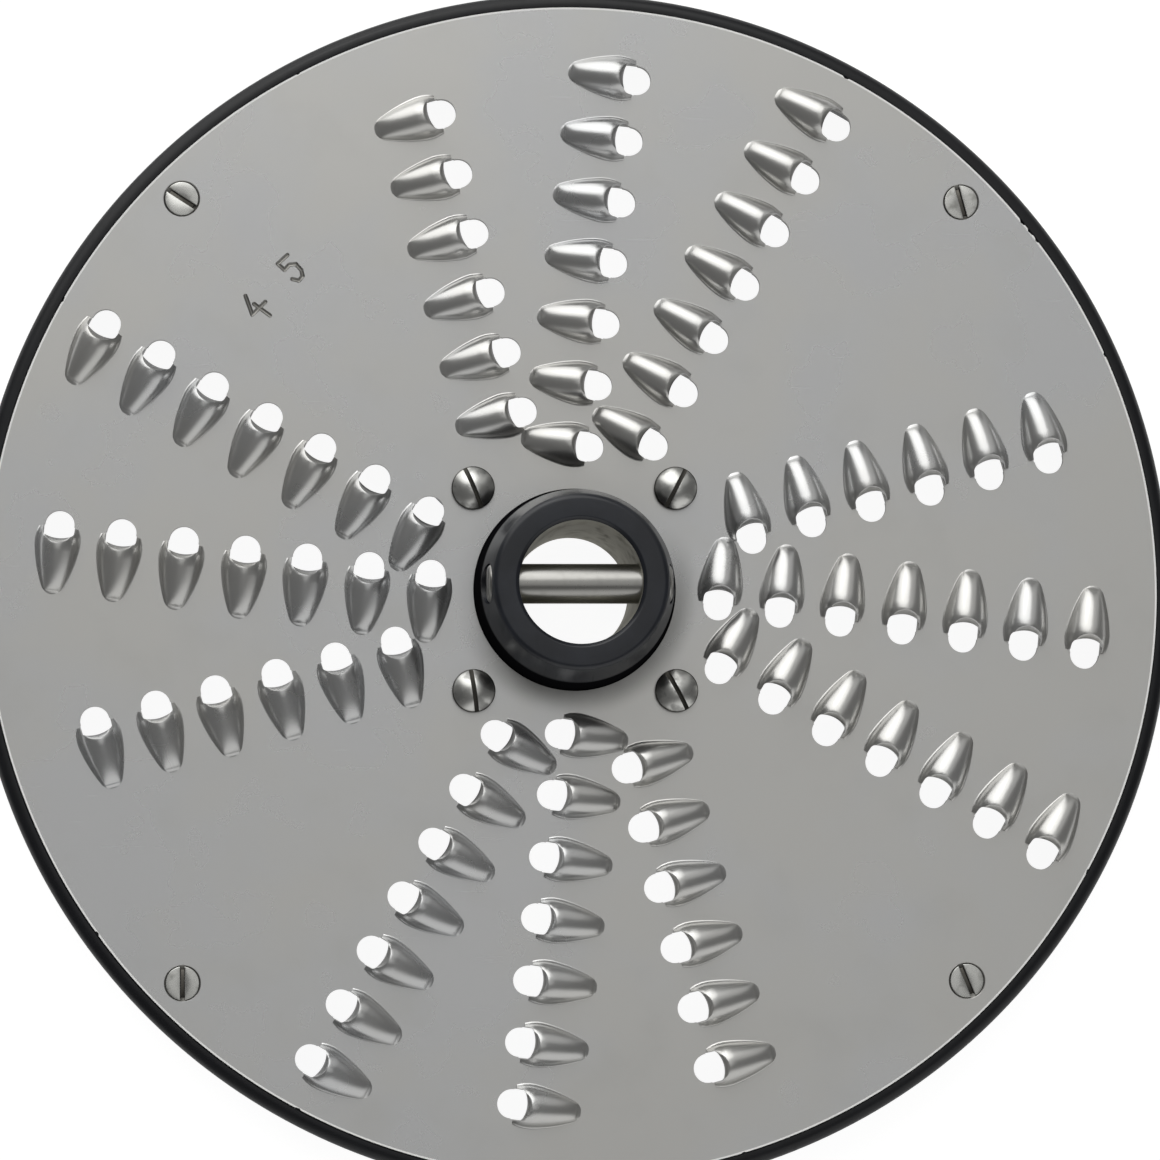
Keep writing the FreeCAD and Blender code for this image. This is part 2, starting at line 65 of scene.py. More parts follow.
class Signal:
    """A shader socket that takes part in Python arithmetic."""

    def __init__(self, bench: "Bench", socket: bpy.types.NodeSocket) -> None:
        """Wraps one output socket of a bench's tree."""
        self.bench = bench
        self.socket = socket

    def _math(self, operation: str, *terms: "Signal | float") -> "Signal":
        """Adds one Math node over the terms."""
        return self.bench.add("ShaderNodeMath", {"operation": operation}, dict(enumerate(terms)))

    def __add__(self, other: "Signal | float") -> "Signal":
        """Returns self + other."""
        return self._math("ADD", self, other)

    def __sub__(self, other: "Signal | float") -> "Signal":
        """Returns self - other."""
        return self._math("SUBTRACT", self, other)

    def __mul__(self, other: "Signal | float") -> "Signal":
        """Returns self * other."""
        return self._math("MULTIPLY", self, other)

    def __rsub__(self, other: float) -> "Signal":
        """Returns other - self."""
        return self._math("SUBTRACT", other, self)

    __radd__ = __add__
    __rmul__ = __mul__

    def ramp(self, low: float, high: float) -> "Signal":
        """Returns self stretched so that low becomes 0 and high becomes 1, with smooth ends."""
        inputs = {0: self, 1: low, 2: high, 3: 0.0, 4: 1.0}
        return self.bench.add("ShaderNodeMapRange", {"interpolation_type": "SMOOTHSTEP"}, inputs)


class Bench:
    """The node tree of a material or a world, with the few moves that the finishes need."""

    def __init__(self, owner: bpy.types.Material | bpy.types.World) -> None:
        """Empties the owner's tree.

        Args:
            owner: the material or world whose nodes are laid out.
        """
        self.owner = owner
        owner.use_nodes = True
        self.tree = owner.node_tree
        self.tree.nodes.clear()

    def add(
        self, kind: str, settings: dict[str, object] | None = None,
        inputs: dict[int | str, object] | None = None, output: int | str = 0,
    ) -> Signal:
        """Adds a node.

        Args:
            kind: the node's type, such as ShaderNodeMath.
            settings: properties that are set before the sockets.
            inputs: values or signals for its input sockets, by index or name.
            output: which output socket to return.

        Returns:
            The signal of that output.
        """
        node = self.tree.nodes.new(kind)
        for key, value in (settings or {}).items():
            setattr(node, key, value)
        for key, value in (inputs or {}).items():
            if isinstance(value, Signal):
                self.tree.links.new(value.socket, node.inputs[key])
            else:
                node.inputs[key].default_value = value
        return Signal(self, node.outputs[output] if len(node.outputs) else None)

    def place(self) -> Signal:
        """Returns the object coordinates, in metres."""
        return self.add("ShaderNodeTexCoord", output="Object")

    def stretched(self, scale: Sequence[float], turn: float = 0.0) -> Signal:
        """Returns object coordinates turned about Z and then stretched."""
        inputs = {"Vector": self.place(), "Rotation": (0.0, 0.0, turn), "Scale": tuple(scale)}
        return self.add("ShaderNodeMapping", {"vector_type": "POINT"}, inputs)

    def level(self, low: float, high: float) -> Signal:
        """Returns 0 below one height and 1 above another, both in millimetres."""
        height = self.add("ShaderNodeSeparateXYZ", None, {0: self.place()}, output="Z")
        return height.ramp(low * MM, high * MM)

    def reach(self) -> Signal:
        """Returns the distance from the Z axis, in metres."""
        flat = self.stretched((1.0, 1.0, 0.0))
        return self.add("ShaderNodeVectorMath", {"operation": "LENGTH"}, {0: flat}, output="Value")

    def beyond(self, near: float, far: float) -> Signal:
        """Returns 0 nearer to the Z axis than one distance and 1 past another, in millimetres."""
        return self.reach().ramp(near * MM, far * MM)

    def along(self, where: Signal, direction: Triple) -> Signal:
        """Returns how far a vector reaches in a direction."""
        ends = {0: where, 1: direction}
        return self.add("ShaderNodeVectorMath", {"operation": "DOT_PRODUCT"}, ends, output="Value")

    def noise(self, scale: float, detail: float = 2.0, where: Signal | None = None) -> Signal:
        """Returns a soft noise from 0 to 1 with scale features to the metre."""
        inputs = {"Vector": where or self.place(), "Scale": scale, "Detail": detail}
        return self.add("ShaderNodeTexNoise", {"noise_dimensions": "3D"}, inputs)

    def blend(self, factor: Signal, low: "Signal | Colour", high: "Signal | Colour") -> Signal:
        """Blends two colours.

        Args:
            factor: 0 for the low colour, 1 for the high one.
            low: a colour, or the signal of one.
            high: a colour, or the signal of one.

        Returns:
            The colour between them.
        """
        ends = [end if isinstance(end, Signal) else rgba(end) for end in (low, high)]
        inputs = {0: factor, 6: ends[0], 7: ends[1]}
        return self.add("ShaderNodeMix", {"data_type": "RGBA"}, inputs, output=2)

    def bump(self, height: Signal, strength: float, distance: float) -> Signal:
        """Returns a normal that follows a height, at most distance metres deep."""
        inputs = {"Height": height, "Strength": strength, "Distance": distance}
        return self.add("ShaderNodeBump", None, inputs)

    def finish(self, **sockets: object) -> bpy.types.Material:
        """Closes the tree with a Principled shader.

        Args:
            sockets: its inputs, with underscores for the spaces in their names.

        Returns:
            The finished material.
        """
        self.add("ShaderNodeOutputMaterial", None, {"Surface": self.principled(**sockets)})
        return self.owner

    def principled(self, **sockets: object) -> Signal:
        """Returns a Principled shader with these inputs."""
        inputs = {key.replace("_", " "): value for key, value in sockets.items()}
        return self.add("ShaderNodeBsdfPrincipled", None, inputs)


def rgba(colour: Colour) -> tuple[float, float, float, float]:
    """Returns a colour with full opacity."""
    return (*colour, 1.0)


# Finishes


@dataclass(frozen=True)
class SheetSteel:
    """Satin stainless sheet, faintly mottled, with hairline scratches from use."""

    name: str = "sheet_steel"
    cool: Colour = (0.550, 0.554, 0.560)
    warm: Colour = (0.560, 0.555, 0.540)
    dull: Colour = (0.510, 0.508, 0.495)
    # Painted shade: the colour laid below the top face, in the figures' grooves, holes and
    # countersinks.
    painted_shade: Colour = (0.25, 0.245, 0.23)
    # Painted highlight: the white line along the sheet's outer edge.
    painted_highlight: Colour = (0.98, 0.98, 0.97)
    # Painted shadow: the dark colour round the hub's foot, darkest on the hub's lower side.
    painted_hub_shadow: Colour = (0.22, 0.22, 0.215)
    metal: float = 0.86
    roughness: float = 0.21
    edge_reach: Point = (89.66, 89.78)
    edge_levels: Point = (11.55, 11.70)
    painted_shade_levels: Point = (11.84, 11.975)
    hub_shadow_reach: Point = (15.6, 19.8)
    hub_shadow_aim: Triple = (0.40, -0.92, 0.0)
    hub_shadow_spread: Point = (-4.0, 12.0)
    hub_shadow_least: float = 0.10
    hub_shadow_share: float = 0.85
    dent_levels: Point = (12.05, 12.6)
    dent_scale: float = 520.0
    dent_depth: float = 3.0
    cloud_scale: float = 38.0
    cloud_range: Point = (0.35, 0.65)
    stain_scale: float = 85.0
    stain_turn: float = 0.7
    stain_range: Point = (0.50, 0.80)
    stain_share: float = 0.45
    grain_scale: float = 2600.0
    rolled_stretch: Triple = (90.0, 3800.0, 90.0)
    rolled_turn: float = 38.0
    hair_stretch: Triple = (55.0, 9000.0, 60.0)
    hair_turn: float = -24.0
    hair_range: Point = (0.74, 0.80)
    hair_share: float = 0.6
    bump_strength: float = 0.12
    bump_depth: float = 0.00003

    def build(self) -> bpy.types.Material:
        """Returns the material.

        Returns:
            The material, with painted shade in the figures and other recesses, a painted shadow
            round the hub and a painted highlight along its edge.
        """
        bench = Bench(bpy.data.materials.new(self.name))
        cloud = bench.noise(self.cloud_scale, 3.0)
        askew = bench.stretched((1.0, 1.0, 1.0), self.stain_turn)
        stain = bench.noise(self.stain_scale, 5.0, askew)
        grain = bench.noise(self.grain_scale, 2.0)
        rolled = bench.stretched(self.rolled_stretch, math.radians(self.rolled_turn))
        hair = bench.stretched(self.hair_stretch, math.radians(self.hair_turn))
        scratch = bench.noise(1.0, 2.0, hair).ramp(*self.hair_range) * self.hair_share
        dents = bench.noise(self.dent_scale, 2.0) * bench.level(*self.dent_levels) * self.dent_depth
        relief = grain * 0.4 + bench.noise(1.0, 3.0, rolled) * 0.4 - scratch * 0.8 + dents
        # Painted highlight: a white, non-metallic line on the sheet's rounded outer edge.
        edge = bench.beyond(*self.edge_reach) * bench.level(*self.edge_levels)
        # Painted shadow round the hub's foot: faint all round, darker towards -Y, mottled by the
        # stain noise.
        lower = bench.along(bench.place(), self.hub_shadow_aim)
        lower = lower.ramp(self.hub_shadow_spread[0] * MM, self.hub_shadow_spread[1] * MM)
        hub_shadowed = lower * self.hub_shadow_share + self.hub_shadow_least
        hub_shadowed = hub_shadowed * (1 - bench.beyond(*self.hub_shadow_reach)) * (stain * 0.8 + 0.6)
        tint = bench.blend(cloud.ramp(*self.cloud_range), self.cool, self.warm)
        dulled = bench.blend(stain.ramp(*self.stain_range) * self.stain_share, tint, self.dull)
        surface = bench.blend(hub_shadowed, dulled, self.painted_hub_shadow)
        # Painted shade: everything below the sheet's top face is darkened.
        sunk = bench.blend(bench.level(*self.painted_shade_levels), self.painted_shade, surface)
        return bench.finish(
            Base_Color=bench.blend(edge, sunk, self.painted_highlight),
            Metallic=(1 - edge) * self.metal,
            Roughness=cloud * 0.08 + stain * 0.06 + scratch * 0.08 + self.roughness,
            Normal=bench.bump(relief, self.bump_strength, self.bump_depth),
        )


@dataclass(frozen=True)
class BlackPlastic:
    """Black moulded plastic, semi-gloss, dusted grey by washing."""

    name: str = "black_plastic"
    deep: Colour = (0.0065, 0.0080, 0.0125)
    faded: Colour = (0.014, 0.0165, 0.0235)
    blackest: Colour = (0.006, 0.006, 0.007)
    roughness: float = 0.38
    specular: float = 0.22
    gloss: float = 0.55
    gloss_roughness: float = 0.24
    rim_reach: Point = (88.5, 90.5)
    rim_darkening: float = 0.8
    rim_dullness: float = 0.6
    wall_reach: Point = (16.5, 17.0)
    wall_top: Point = (18.2, 19.6)
    cloud_scale: float = 160.0
    cloud_range: Point = (0.3, 0.75)
    grain_scale: float = 3200.0
    ridge_scale: float = 1900.0
    scuff_stretch: Triple = (700.0, 90.0, 90.0)
    scuff_turn: float = 15.0
    scuff_range: Point = (0.55, 0.75)
    bump_strength: float = 0.25
    bump_depth: float = 0.00005

    def build(self) -> bpy.types.Material:
        """Returns the material.

        Returns:
            The material, matte and near black on the hub's lower wall, and darker and duller on the
            rim.
        """
        bench = Bench(bpy.data.materials.new(self.name))
        cloud = bench.noise(self.cloud_scale, 4.0)
        grain = bench.noise(self.grain_scale, 2.0)
        scuff = bench.stretched(self.scuff_stretch, math.radians(self.scuff_turn))
        scuff = bench.noise(1.0, 3.0, scuff).ramp(*self.scuff_range)
        across = {"W": bench.reach() * self.ridge_scale, "Scale": 1.0}
        ridges = bench.add("ShaderNodeTexNoise", {"noise_dimensions": "1D"}, across)
        relief = grain * 0.6 + ridges + scuff * 0.3
        rim = bench.beyond(*self.rim_reach)
        hub = bench.blend(cloud.ramp(*self.cloud_range), self.deep, self.faded)
        shader = bench.principled(
            Base_Color=bench.blend(rim * self.rim_darkening, hub, self.blackest),
            Roughness=cloud * 0.12 + scuff * 0.10 + self.roughness,
            Normal=bench.bump(relief, self.bump_strength, self.bump_depth),
            Specular_IOR_Level=self.specular,
            Coat_Weight=(1 - rim * self.rim_dullness) * self.gloss,
            Coat_Roughness=self.gloss_roughness,
        )
        # The hub's lower wall is matte and near black, without reflections.
        matte_wall = bench.add("ShaderNodeBsdfDiffuse", None, {"Color": rgba(self.blackest)})
        shiny = bench.level(*self.wall_top) + bench.beyond(*self.wall_reach)
        mixed = bench.add("ShaderNodeMixShader", None, {0: shiny, 1: matte_wall, 2: shader})
        bench.add("ShaderNodeOutputMaterial", None, {"Surface": mixed})
        return bench.owner


@dataclass(frozen=True)
class TurnedMetal:
    """Metal with fine turning marks and patches of tarnish."""

    name: str
    clean: Colour
    tarnish: Colour
    roughness: float
    tarnish_scale: float = 520.0
    tarnish_start: float = 0.48
    tarnish_spread: float = 0.22
    mark_scale: float = 5200.0
    mark_strength: float = 0.18
    mark_depth: float = 0.00002
    uneven: float = 0.16
    # Painted shade: the colour below a level, for the floor of a screw's slot.
    painted_shade: Colour = (0.10, 0.095, 0.085)
    painted_shade_level: float = 0.0
    painted_shade_fade: float = 0.2

    def build(self) -> bpy.types.Material:
        """Returns the material.

        Returns:
            The material, darkened by painted shade below a given level, such as the floor of a
            screw's slot.
        """
        bench = Bench(bpy.data.materials.new(self.name))
        patch = bench.noise(self.tarnish_scale, 4.0)
        patch = patch.ramp(self.tarnish_start, self.tarnish_start + self.tarnish_spread)
        marks = bench.noise(self.mark_scale, 2.0)
        # Painted shade below the level, such as in a screw's slot.
        clear = bench.level(self.painted_shade_level - self.painted_shade_fade, self.painted_shade_level)
        return bench.finish(
            Base_Color=bench.blend(clear, self.painted_shade, bench.blend(patch, self.clean, self.tarnish)),
            Metallic=1.0,
            Roughness=patch * self.uneven + marks * (self.uneven * 0.4) + self.roughness,
            Normal=bench.bump(marks, self.mark_strength, self.mark_depth),
        )


PIN_STEEL = TurnedMetal(
    "pin_steel", (0.36, 0.355, 0.34), (0.34, 0.335, 0.32), 0.27, mark_depth=0.000002, uneven=0.03,
)
# The rim screws' slots get painted shade below their level.
RIM_SCREW_STEEL = TurnedMetal(
    "rim_screw_steel", (0.58, 0.58, 0.56), (0.36, 0.36, 0.34), 0.24, tarnish_start=0.50,
    painted_shade_level=11.75,
)
# The hub screws' slots and the foot of their heads get painted shade below their level.
HUB_SCREW_STEEL = TurnedMetal(
    "hub_screw_steel", (0.60, 0.60, 0.58), (0.34, 0.34, 0.33), 0.27, tarnish_start=0.46,
    painted_shade=(0.05, 0.048, 0.043), painted_shade_level=13.12,
)
BUSH_METAL = TurnedMetal(
    "bush_metal", (0.43, 0.418, 0.36), (0.40, 0.388, 0.335), 0.56, mark_depth=0.000003,
)
INSERT_BRASS = TurnedMetal("insert_brass", (0.72, 0.56, 0.28), (0.50, 0.38, 0.18), 0.30)


# Modelling moves


class Level(Enum):
    """Which end of a node's box is meant."""

    LOWEST = 0
    HIGHEST = 1


def deselect() -> None:
    """Deselects every object."""
    bpy.ops.object.select_all(action="DESELECT")


def take(piece: bpy.types.Object) -> None:
    """Makes a piece the only selected object, and the active one.

    Args:
        piece: the object to select.
    """
    deselect()
    piece.select_set(True)
    bpy.context.view_layer.objects.active = piece


@contextmanager
def editing(piece: bpy.types.Object) -> Iterator[None]:
    """Holds a piece in edit mode with all of it selected.

    Args:
        piece: the object to edit.

    Yields:
        Nothing; the block runs in edit mode.
    """
    take(piece)
    bpy.ops.object.mode_set(mode="EDIT")
    bpy.ops.mesh.select_all(action="SELECT")
    yield
    bpy.ops.object.mode_set(mode="OBJECT")


def pick(piece: bpy.types.Object, wanted: Callable[[Vector], bool]) -> None:
    """Selects the vertices of the piece in edit mode whose place passes the test.

    Args:
        piece: the object that is being edited.
        wanted: tells from a vertex's place whether it is selected.
    """
    form = bmesh.from_edit_mesh(piece.data)
    for vertex in form.verts:
        vertex.select = wanted(vertex.co)
    form.select_flush_mode()
    form.select_flush(True)
    bmesh.update_edit_mesh(piece.data)


def settle(piece: bpy.types.Object) -> None:
    """Applies the piece's own place, turn and scale to its mesh."""
    take(piece)
    bpy.ops.object.transform_apply(location=True, rotation=True, scale=True)


def close_up(piece: bpy.types.Object) -> None:
    """Merges doubles and turns every face outwards.

    Args:
        piece: a closed object.
    """
    with editing(piece):
        bpy.ops.mesh.remove_doubles(threshold=DOUBLES)
        bpy.ops.mesh.normals_make_consistent(inside=False)


def face_up(piece: bpy.types.Object) -> None:
    """Turns an open sheet's faces over if its highest one looks down.

    Args:
        piece: the sheet.
    """
    highest = max(piece.data.polygons, key=lambda face: face.center.z)
    if highest.normal.z < 0:
        with editing(piece):
            bpy.ops.mesh.flip_normals()


def raise_by(height: float) -> None:
    """Extrudes what is selected upwards by a height in millimetres."""
    bpy.ops.mesh.extrude_region_move(TRANSFORM_OT_translate={"value": (0, 0, height * MM)})


def drawn(name: str, points: Sequence[Vector]) -> bpy.types.Object:
    """Draws a line of edges by extruding one vertex from point to point.

    Args:
        name: the new object's name.
        points: the points in metres.

    Returns:
        The object with the line.
    """
    deselect()
    bpy.ops.mesh.primitive_plane_add(size=MM)
    piece = bpy.context.object
    piece.name = name
    with editing(piece):
        bpy.ops.mesh.merge(type="CENTER")
        bpy.ops.transform.translate(value=points[0])
        for start, end in zip(points, points[1:]):
            bpy.ops.mesh.extrude_region_move(TRANSFORM_OT_translate={"value": end - start})
    return piece


def rounded(corners: Sequence[Triple], closed: bool, steps: int = 6) -> list[Point]:
    """Rounds the corners of an outline.

    Args:
        corners: (x, y, rounding radius) of each corner, in millimetres.
        closed: whether the last corner leads back to the first.
        steps: how many edges each rounded corner gets.

    Returns:
        The points of the outline.
    """
    points: list[Point] = []
    count = len(corners)
    for index, (x, y, radius) in enumerate(corners):
        corner = Vector((x, y))
        loose_end = not closed and index in (0, count - 1)
        if radius <= 0 or loose_end:
            points.append((x, y))
            continue
        before = (Vector(corners[index - 1][:2]) - corner).normalized()
        after = (Vector(corners[(index + 1) % count][:2]) - corner).normalized()
        half = before.angle(after) / 2
        start = corner + before * (radius / math.tan(half))
        end = corner + after * (radius / math.tan(half))
        centre = corner + (before + after).normalized() * (radius / math.sin(half))
        sweep = (start - centre).angle_signed(end - centre)
        for step in range(steps + 1):
            spoke = (start - centre).copy()
            spoke.rotate(Matrix.Rotation(-sweep * step / steps, 2))
            points.append(tuple(centre + spoke))
    return points


def turned(
    name: str, outline: Sequence[Point], steps: int, closed: bool = True,
) -> bpy.types.Object:
    """Spins an outline of (radius, height) points, in millimetres, about the Z axis.

    Args:
        name: the new object's name.
        outline: the outline's points.
        steps: how many steps the full turn has.
        closed: whether the last point leads back to the first.

    Returns:
        The turned object.
    """
    points = [Vector((radius, 0.0, height)) * MM for radius, height in outline]
    if closed:
        points.append(points[0])
    piece = drawn(name, points)
    with editing(piece):
        bpy.ops.mesh.spin(steps=steps, angle=math.tau, center=(0, 0, 0), axis=(0, 0, 1))
    close_up(piece)
    return piece


def cylinder(
    name: str, radius: float, low: float, high: float, spot: Point = (0, 0), sides: int = 48,
    top_radius: float | None = None,
) -> bpy.types.Object:
    """Adds an upright cylinder or cone from low to high, in millimetres.

    Args:
        name: the new object's name.
        radius: its radius, or its lower one.
        low: the level of its foot.
        high: the level of its top.
        spot: the place of its axis.
        sides: how many sides it has.
        top_radius: its upper radius, where that differs.

    Returns:
        The new object.
    """
    deselect()
    upper = radius if top_radius is None else top_radius
    bpy.ops.mesh.primitive_cone_add(
        vertices=sides, radius1=radius * MM, radius2=upper * MM, depth=(high - low) * MM,
        location=(spot[0] * MM, spot[1] * MM, (low + high) / 2 * MM),
    )
    piece = bpy.context.object
    piece.name = name
    settle(piece)
    return piece


def block(name: str, low: Sequence[float], high: Sequence[float]) -> bpy.types.Object:
    """Adds a box between two corners, in millimetres.

    Args:
        name: the new object's name.
        low: the lowest corner.
        high: the highest corner.

    Returns:
        The new object.
    """
    deselect()
    middle = [(a + b) / 2 * MM for a, b in zip(low, high)]
    bpy.ops.mesh.primitive_cube_add(size=1.0, location=middle)
    piece = bpy.context.object
    piece.name = name
    piece.scale = [(b - a) * MM for a, b in zip(low, high)]
    settle(piece)
    return piece


def apply_modifier(piece: bpy.types.Object, kind: str, **settings: object) -> None:
    """Adds a modifier with these settings and applies it.

    Args:
        piece: the object to change.
        kind: the modifier's type.
        settings: its properties.
    """
    modifier = piece.modifiers.new(kind.title(), kind)
    for key, value in settings.items():
        setattr(modifier, key, value)
    take(piece)
    bpy.ops.object.modifier_apply(modifier=modifier.name)


def carve(piece: bpy.types.Object, tool: bpy.types.Object, crossing: bool = False) -> None:
    """Cuts a tool's shape out of a piece and throws the tool away.

    Args:
        piece: the object to change.
        tool: the object whose shape is cut away.
        crossing: whether the tool's own parts cross each other.
    """
    apply_modifier(
        piece, "BOOLEAN", operation="DIFFERENCE", object=tool, solver="EXACT", use_self=crossing,
    )
    bpy.data.meshes.remove(tool.data)


def merge(pieces: Sequence[bpy.types.Object], name: str) -> bpy.types.Object:
    """Makes several pieces one object.

    Args:
        pieces: the objects to join.
        name: the joined object's name.

    Returns:
        The joined object.
    """
    take(pieces[0])
    for piece in pieces:
        piece.select_set(True)
    bpy.ops.object.join()
    pieces[0].name = name
    return pieces[0]


def copy_of(pattern: bpy.types.Object, place: Matrix, name: str) -> bpy.types.Object:
    """Copies a pattern to a place.

    Args:
        pattern: the object to copy.
        place: where the copy goes.
        name: the copy's name.

    Returns:
        The copy, with its own mesh.
    """
    twin = pattern.copy()
    twin.data = pattern.data.copy()
    twin.data.transform(place)
    twin.name = name
    bpy.context.collection.objects.link(twin)
    return twin


def copies(pattern: bpy.types.Object, places: Sequence[Matrix], name: str) -> bpy.types.Object:
    """Copies a pattern to each place, joins the copies and throws the pattern away.

    Args:
        pattern: the object to copy.
        places: where the copies go.
        name: the joined object's name.

    Returns:
        The joined object.
    """
    made = [copy_of(pattern, place, name) for place in places]
    bpy.data.meshes.remove(pattern.data)
    return merge(made, name)


def soften(piece: bpy.types.Object, width: float, angle: float = 30.0, segments: int = 1) -> None:
    """Breaks a piece's sharp edges.

    Args:
        piece: the object to change.
        width: how wide the break is, in millimetres.
        angle: the angle in degrees from which an edge counts as sharp.
        segments: how many faces the break has across.
    """
    apply_modifier(
        piece, "BEVEL", width=width * MM, limit_method="ANGLE", angle_limit=math.radians(angle),
        segments=segments, use_clamp_overlap=True, harden_normals=False,
    )


def dress(piece: bpy.types.Object, material: bpy.types.Material, slot: str, *nodes: str,
          smooth: float = 30.0) -> None:
    """Shades a piece, gives it its material and sets it in place of its nodes.

    Args:
        piece: the finished object.
        material: its finish.
        slot: the record's material slot; not used.
        nodes: the nodes that it stands for.
        smooth: the angle in degrees up to which its edges are shaded smooth.
    """
    take(piece)
    bpy.ops.object.shade_smooth_by_angle(angle=math.radians(smooth))
    piece.data.materials.clear()
    piece.data.materials.append(material)
    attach(piece, "root")
    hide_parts(*nodes)
    piece.data.calc_loop_triangles()
    LOG.info("%s: %d triangles", piece.name, len(piece.data.loop_triangles))


def around(angle: float) -> Matrix:
    """Returns a turn about the Z axis, in degrees."""
    return Matrix.Rotation(math.radians(angle), 4, "Z")


def shifted(x: float, y: float, z: float) -> Matrix:
    """Returns a shift in millimetres."""
    return Matrix.Translation(Vector((x, y, z)) * MM)


# Sub-assemblies


def level_of(node: str, end: Level) -> float:
    """Returns the lowest or highest level of a node, in millimetres."""
    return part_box(node)[end.value][2] / MM


@dataclass
class Tooth:
    """One pressed tooth: a half dome open at the front, over a punched hole."""

    front: float = 0.4
    radius: float = 3.3
    length: float = 9.8
    tip: float = 1.5
    wall: float = 0.95
    crest_top: float = 3.75
    crest_fall: float = 0.22
    pinch: float = 0.55
    sag: float = 0.55
    pinch_reach: float = 3.0
    cap_power: float = 5.0
    flare: float = 0.50
    flare_round: float = 0.44
    flare_steps: int = 5
    fade: tuple[Point, ...] = ((0.06, 0.20), (0.20, 0.10), (0.32, 0.045), (0.42, 0.015))
    sink: float = 0.012
    punch: float = 2.25
    lip: tuple[Triple, ...] = ((-5.0, 2.45, 0.0), (1.65, 2.45, 0.8), (2.55, 0.0, 5.0))
    lip_steps: int = 8
    lip_reach: float = 2.25
    lip_level: float = 2.2
    lip_slope: float = 0.80
    lip_break: float = 0.13
    opening_front: float = 0.08
    opening_least: float = 1.14
    stations: int = 16
    sides: int = 40

    def half_width(self, reach: float, margin: float = 0.0) -> float:
        """Returns half the width of the dome, or of its wider foot.

        Args:
            reach: the distance behind the front, in millimetres.
            margin: how far the foot stands out.

        Returns:
            Half the width, in millimetres.
        """
        body = self.length - self.tip
        wide, tip = self.radius + margin, self.tip + margin
        crown = (body**2 + wide**2 - tip**2) / (2 * (wide - tip))
        joint = body + tip * body / (crown - tip)
        if reach < joint:
            return math.sqrt(max(crown**2 - reach**2, 0.0)) - (crown - wide)
        return math.sqrt(max(tip**2 - (reach - body) ** 2, 0.0))

    def crest(self, reach: float) -> float:
        """Returns the dome's height at a distance behind its front, round towards the tail."""
        cap = math.sqrt(1 - (reach / self.length) ** self.cap_power)
        return (self.crest_top - self.crest_fall * reach) * cap

    def nearness(self, reach: float) -> float:
        """Returns 1 at the front, falling to 0 where the dome has its full width."""
        return max(0.0, 1 - reach / self.pinch_reach) ** 2

    def reaches(self) -> list[float]:
        """Returns the distances of the sections behind the front, closer towards the tail."""
        steps = range(self.stations)
        return [self.length * math.sin(math.pi / 2 * step / self.stations) for step in steps]

    def sections(self) -> list[Triple]:
        """Returns (distance behind the front, half width over the foot, height) of each section.

        Returns:
            The sections, from the front to the tail.
        """
        body = [
            (reach, self.half_width(reach, self.flare) - self.pinch * self.nearness(reach),
             self.crest(reach) * (1 - self.sag * self.nearness(reach)))
            for reach in self.reaches()
        ]
        tail = [(self.length + beyond, height) for beyond, height in self.fade]
        foot = [(reach, self.half_width(reach, self.flare), height) for reach, height in tail]
        return body + foot

    def build(self) -> bpy.types.Object:
        """Models the tooth with its punched hole at the origin and its tail along X.

        Returns:
            The tooth's shell.
        """
        deselect()
        bpy.ops.mesh.primitive_circle_add(
            vertices=self.sides, radius=self.radius * MM, location=(self.front * MM, 0, 0),
            rotation=(math.pi / 2, 0, math.pi / 2),
        )
        shell = bpy.context.object
        shell.name = "tooth"
        settle(shell)
        foot = self.radius * MM
        with editing(shell):
            pick(shell, lambda spot: spot.z < -WELD)
            bpy.ops.mesh.delete(type="VERT")
            for side in (-1, 1):
                pick(shell, lambda spot: abs(spot.y - side * foot) < WELD and spot.z < CLOSE)
                move = {"value": (0, side * self.flare * MM, 0)}
                bpy.ops.mesh.extrude_region_move(TRANSFORM_OT_translate=move)
            pick(shell, lambda spot: abs(abs(spot.y) - foot) < WELD and spot.z < CLOSE)
            bpy.ops.mesh.bevel(
                offset=self.flare_round * MM, segments=self.flare_steps, affect="VERTICES",
            )
            bpy.ops.mesh.select_all(action="SELECT")
            sections = self.sections()
            first = (1, sections[0][1] / (self.radius + self.flare), sections[0][2] / self.radius)
            bpy.ops.transform.resize(value=first, center_override=(self.front * MM, 0, 0))
            for here, there in zip(sections, sections[1:]):
                step = (there[0] - here[0]) * MM
                bpy.ops.mesh.extrude_region_move(TRANSFORM_OT_translate={"value": (step, 0, 0)})
                shrink = (1, there[1] / here[1], there[2] / here[2])
                centre = ((self.front + there[0]) * MM, 0, 0)
                bpy.ops.transform.resize(value=shrink, center_override=centre)
            end = self.length + self.flare
            bpy.ops.mesh.extrude_region_move(
                TRANSFORM_OT_translate={"value": ((end - sections[-1][0]) * MM, 0, 0)}
            )
            bpy.ops.mesh.merge(type="CENTER")
            pick(shell, lambda spot: spot.x > (self.front + end) * MM - CLOSE)
            bpy.ops.transform.resize(value=(1, 1, 0), center_override=(0, 0, 0))
            bpy.ops.mesh.select_all(action="SELECT")
            bpy.ops.mesh.normals_make_consistent(inside=False)
        face_up(shell)
        apply_modifier(
            shell, "SOLIDIFY", thickness=self.wall * MM, offset=-1.0, use_even_offset=False,
        )
        carve(shell, self.mouth())
        soften(shell, self.lip_break, 40.0, 2)
        shell.data.transform(shifted(0, 0, -self.sink))
        return shell

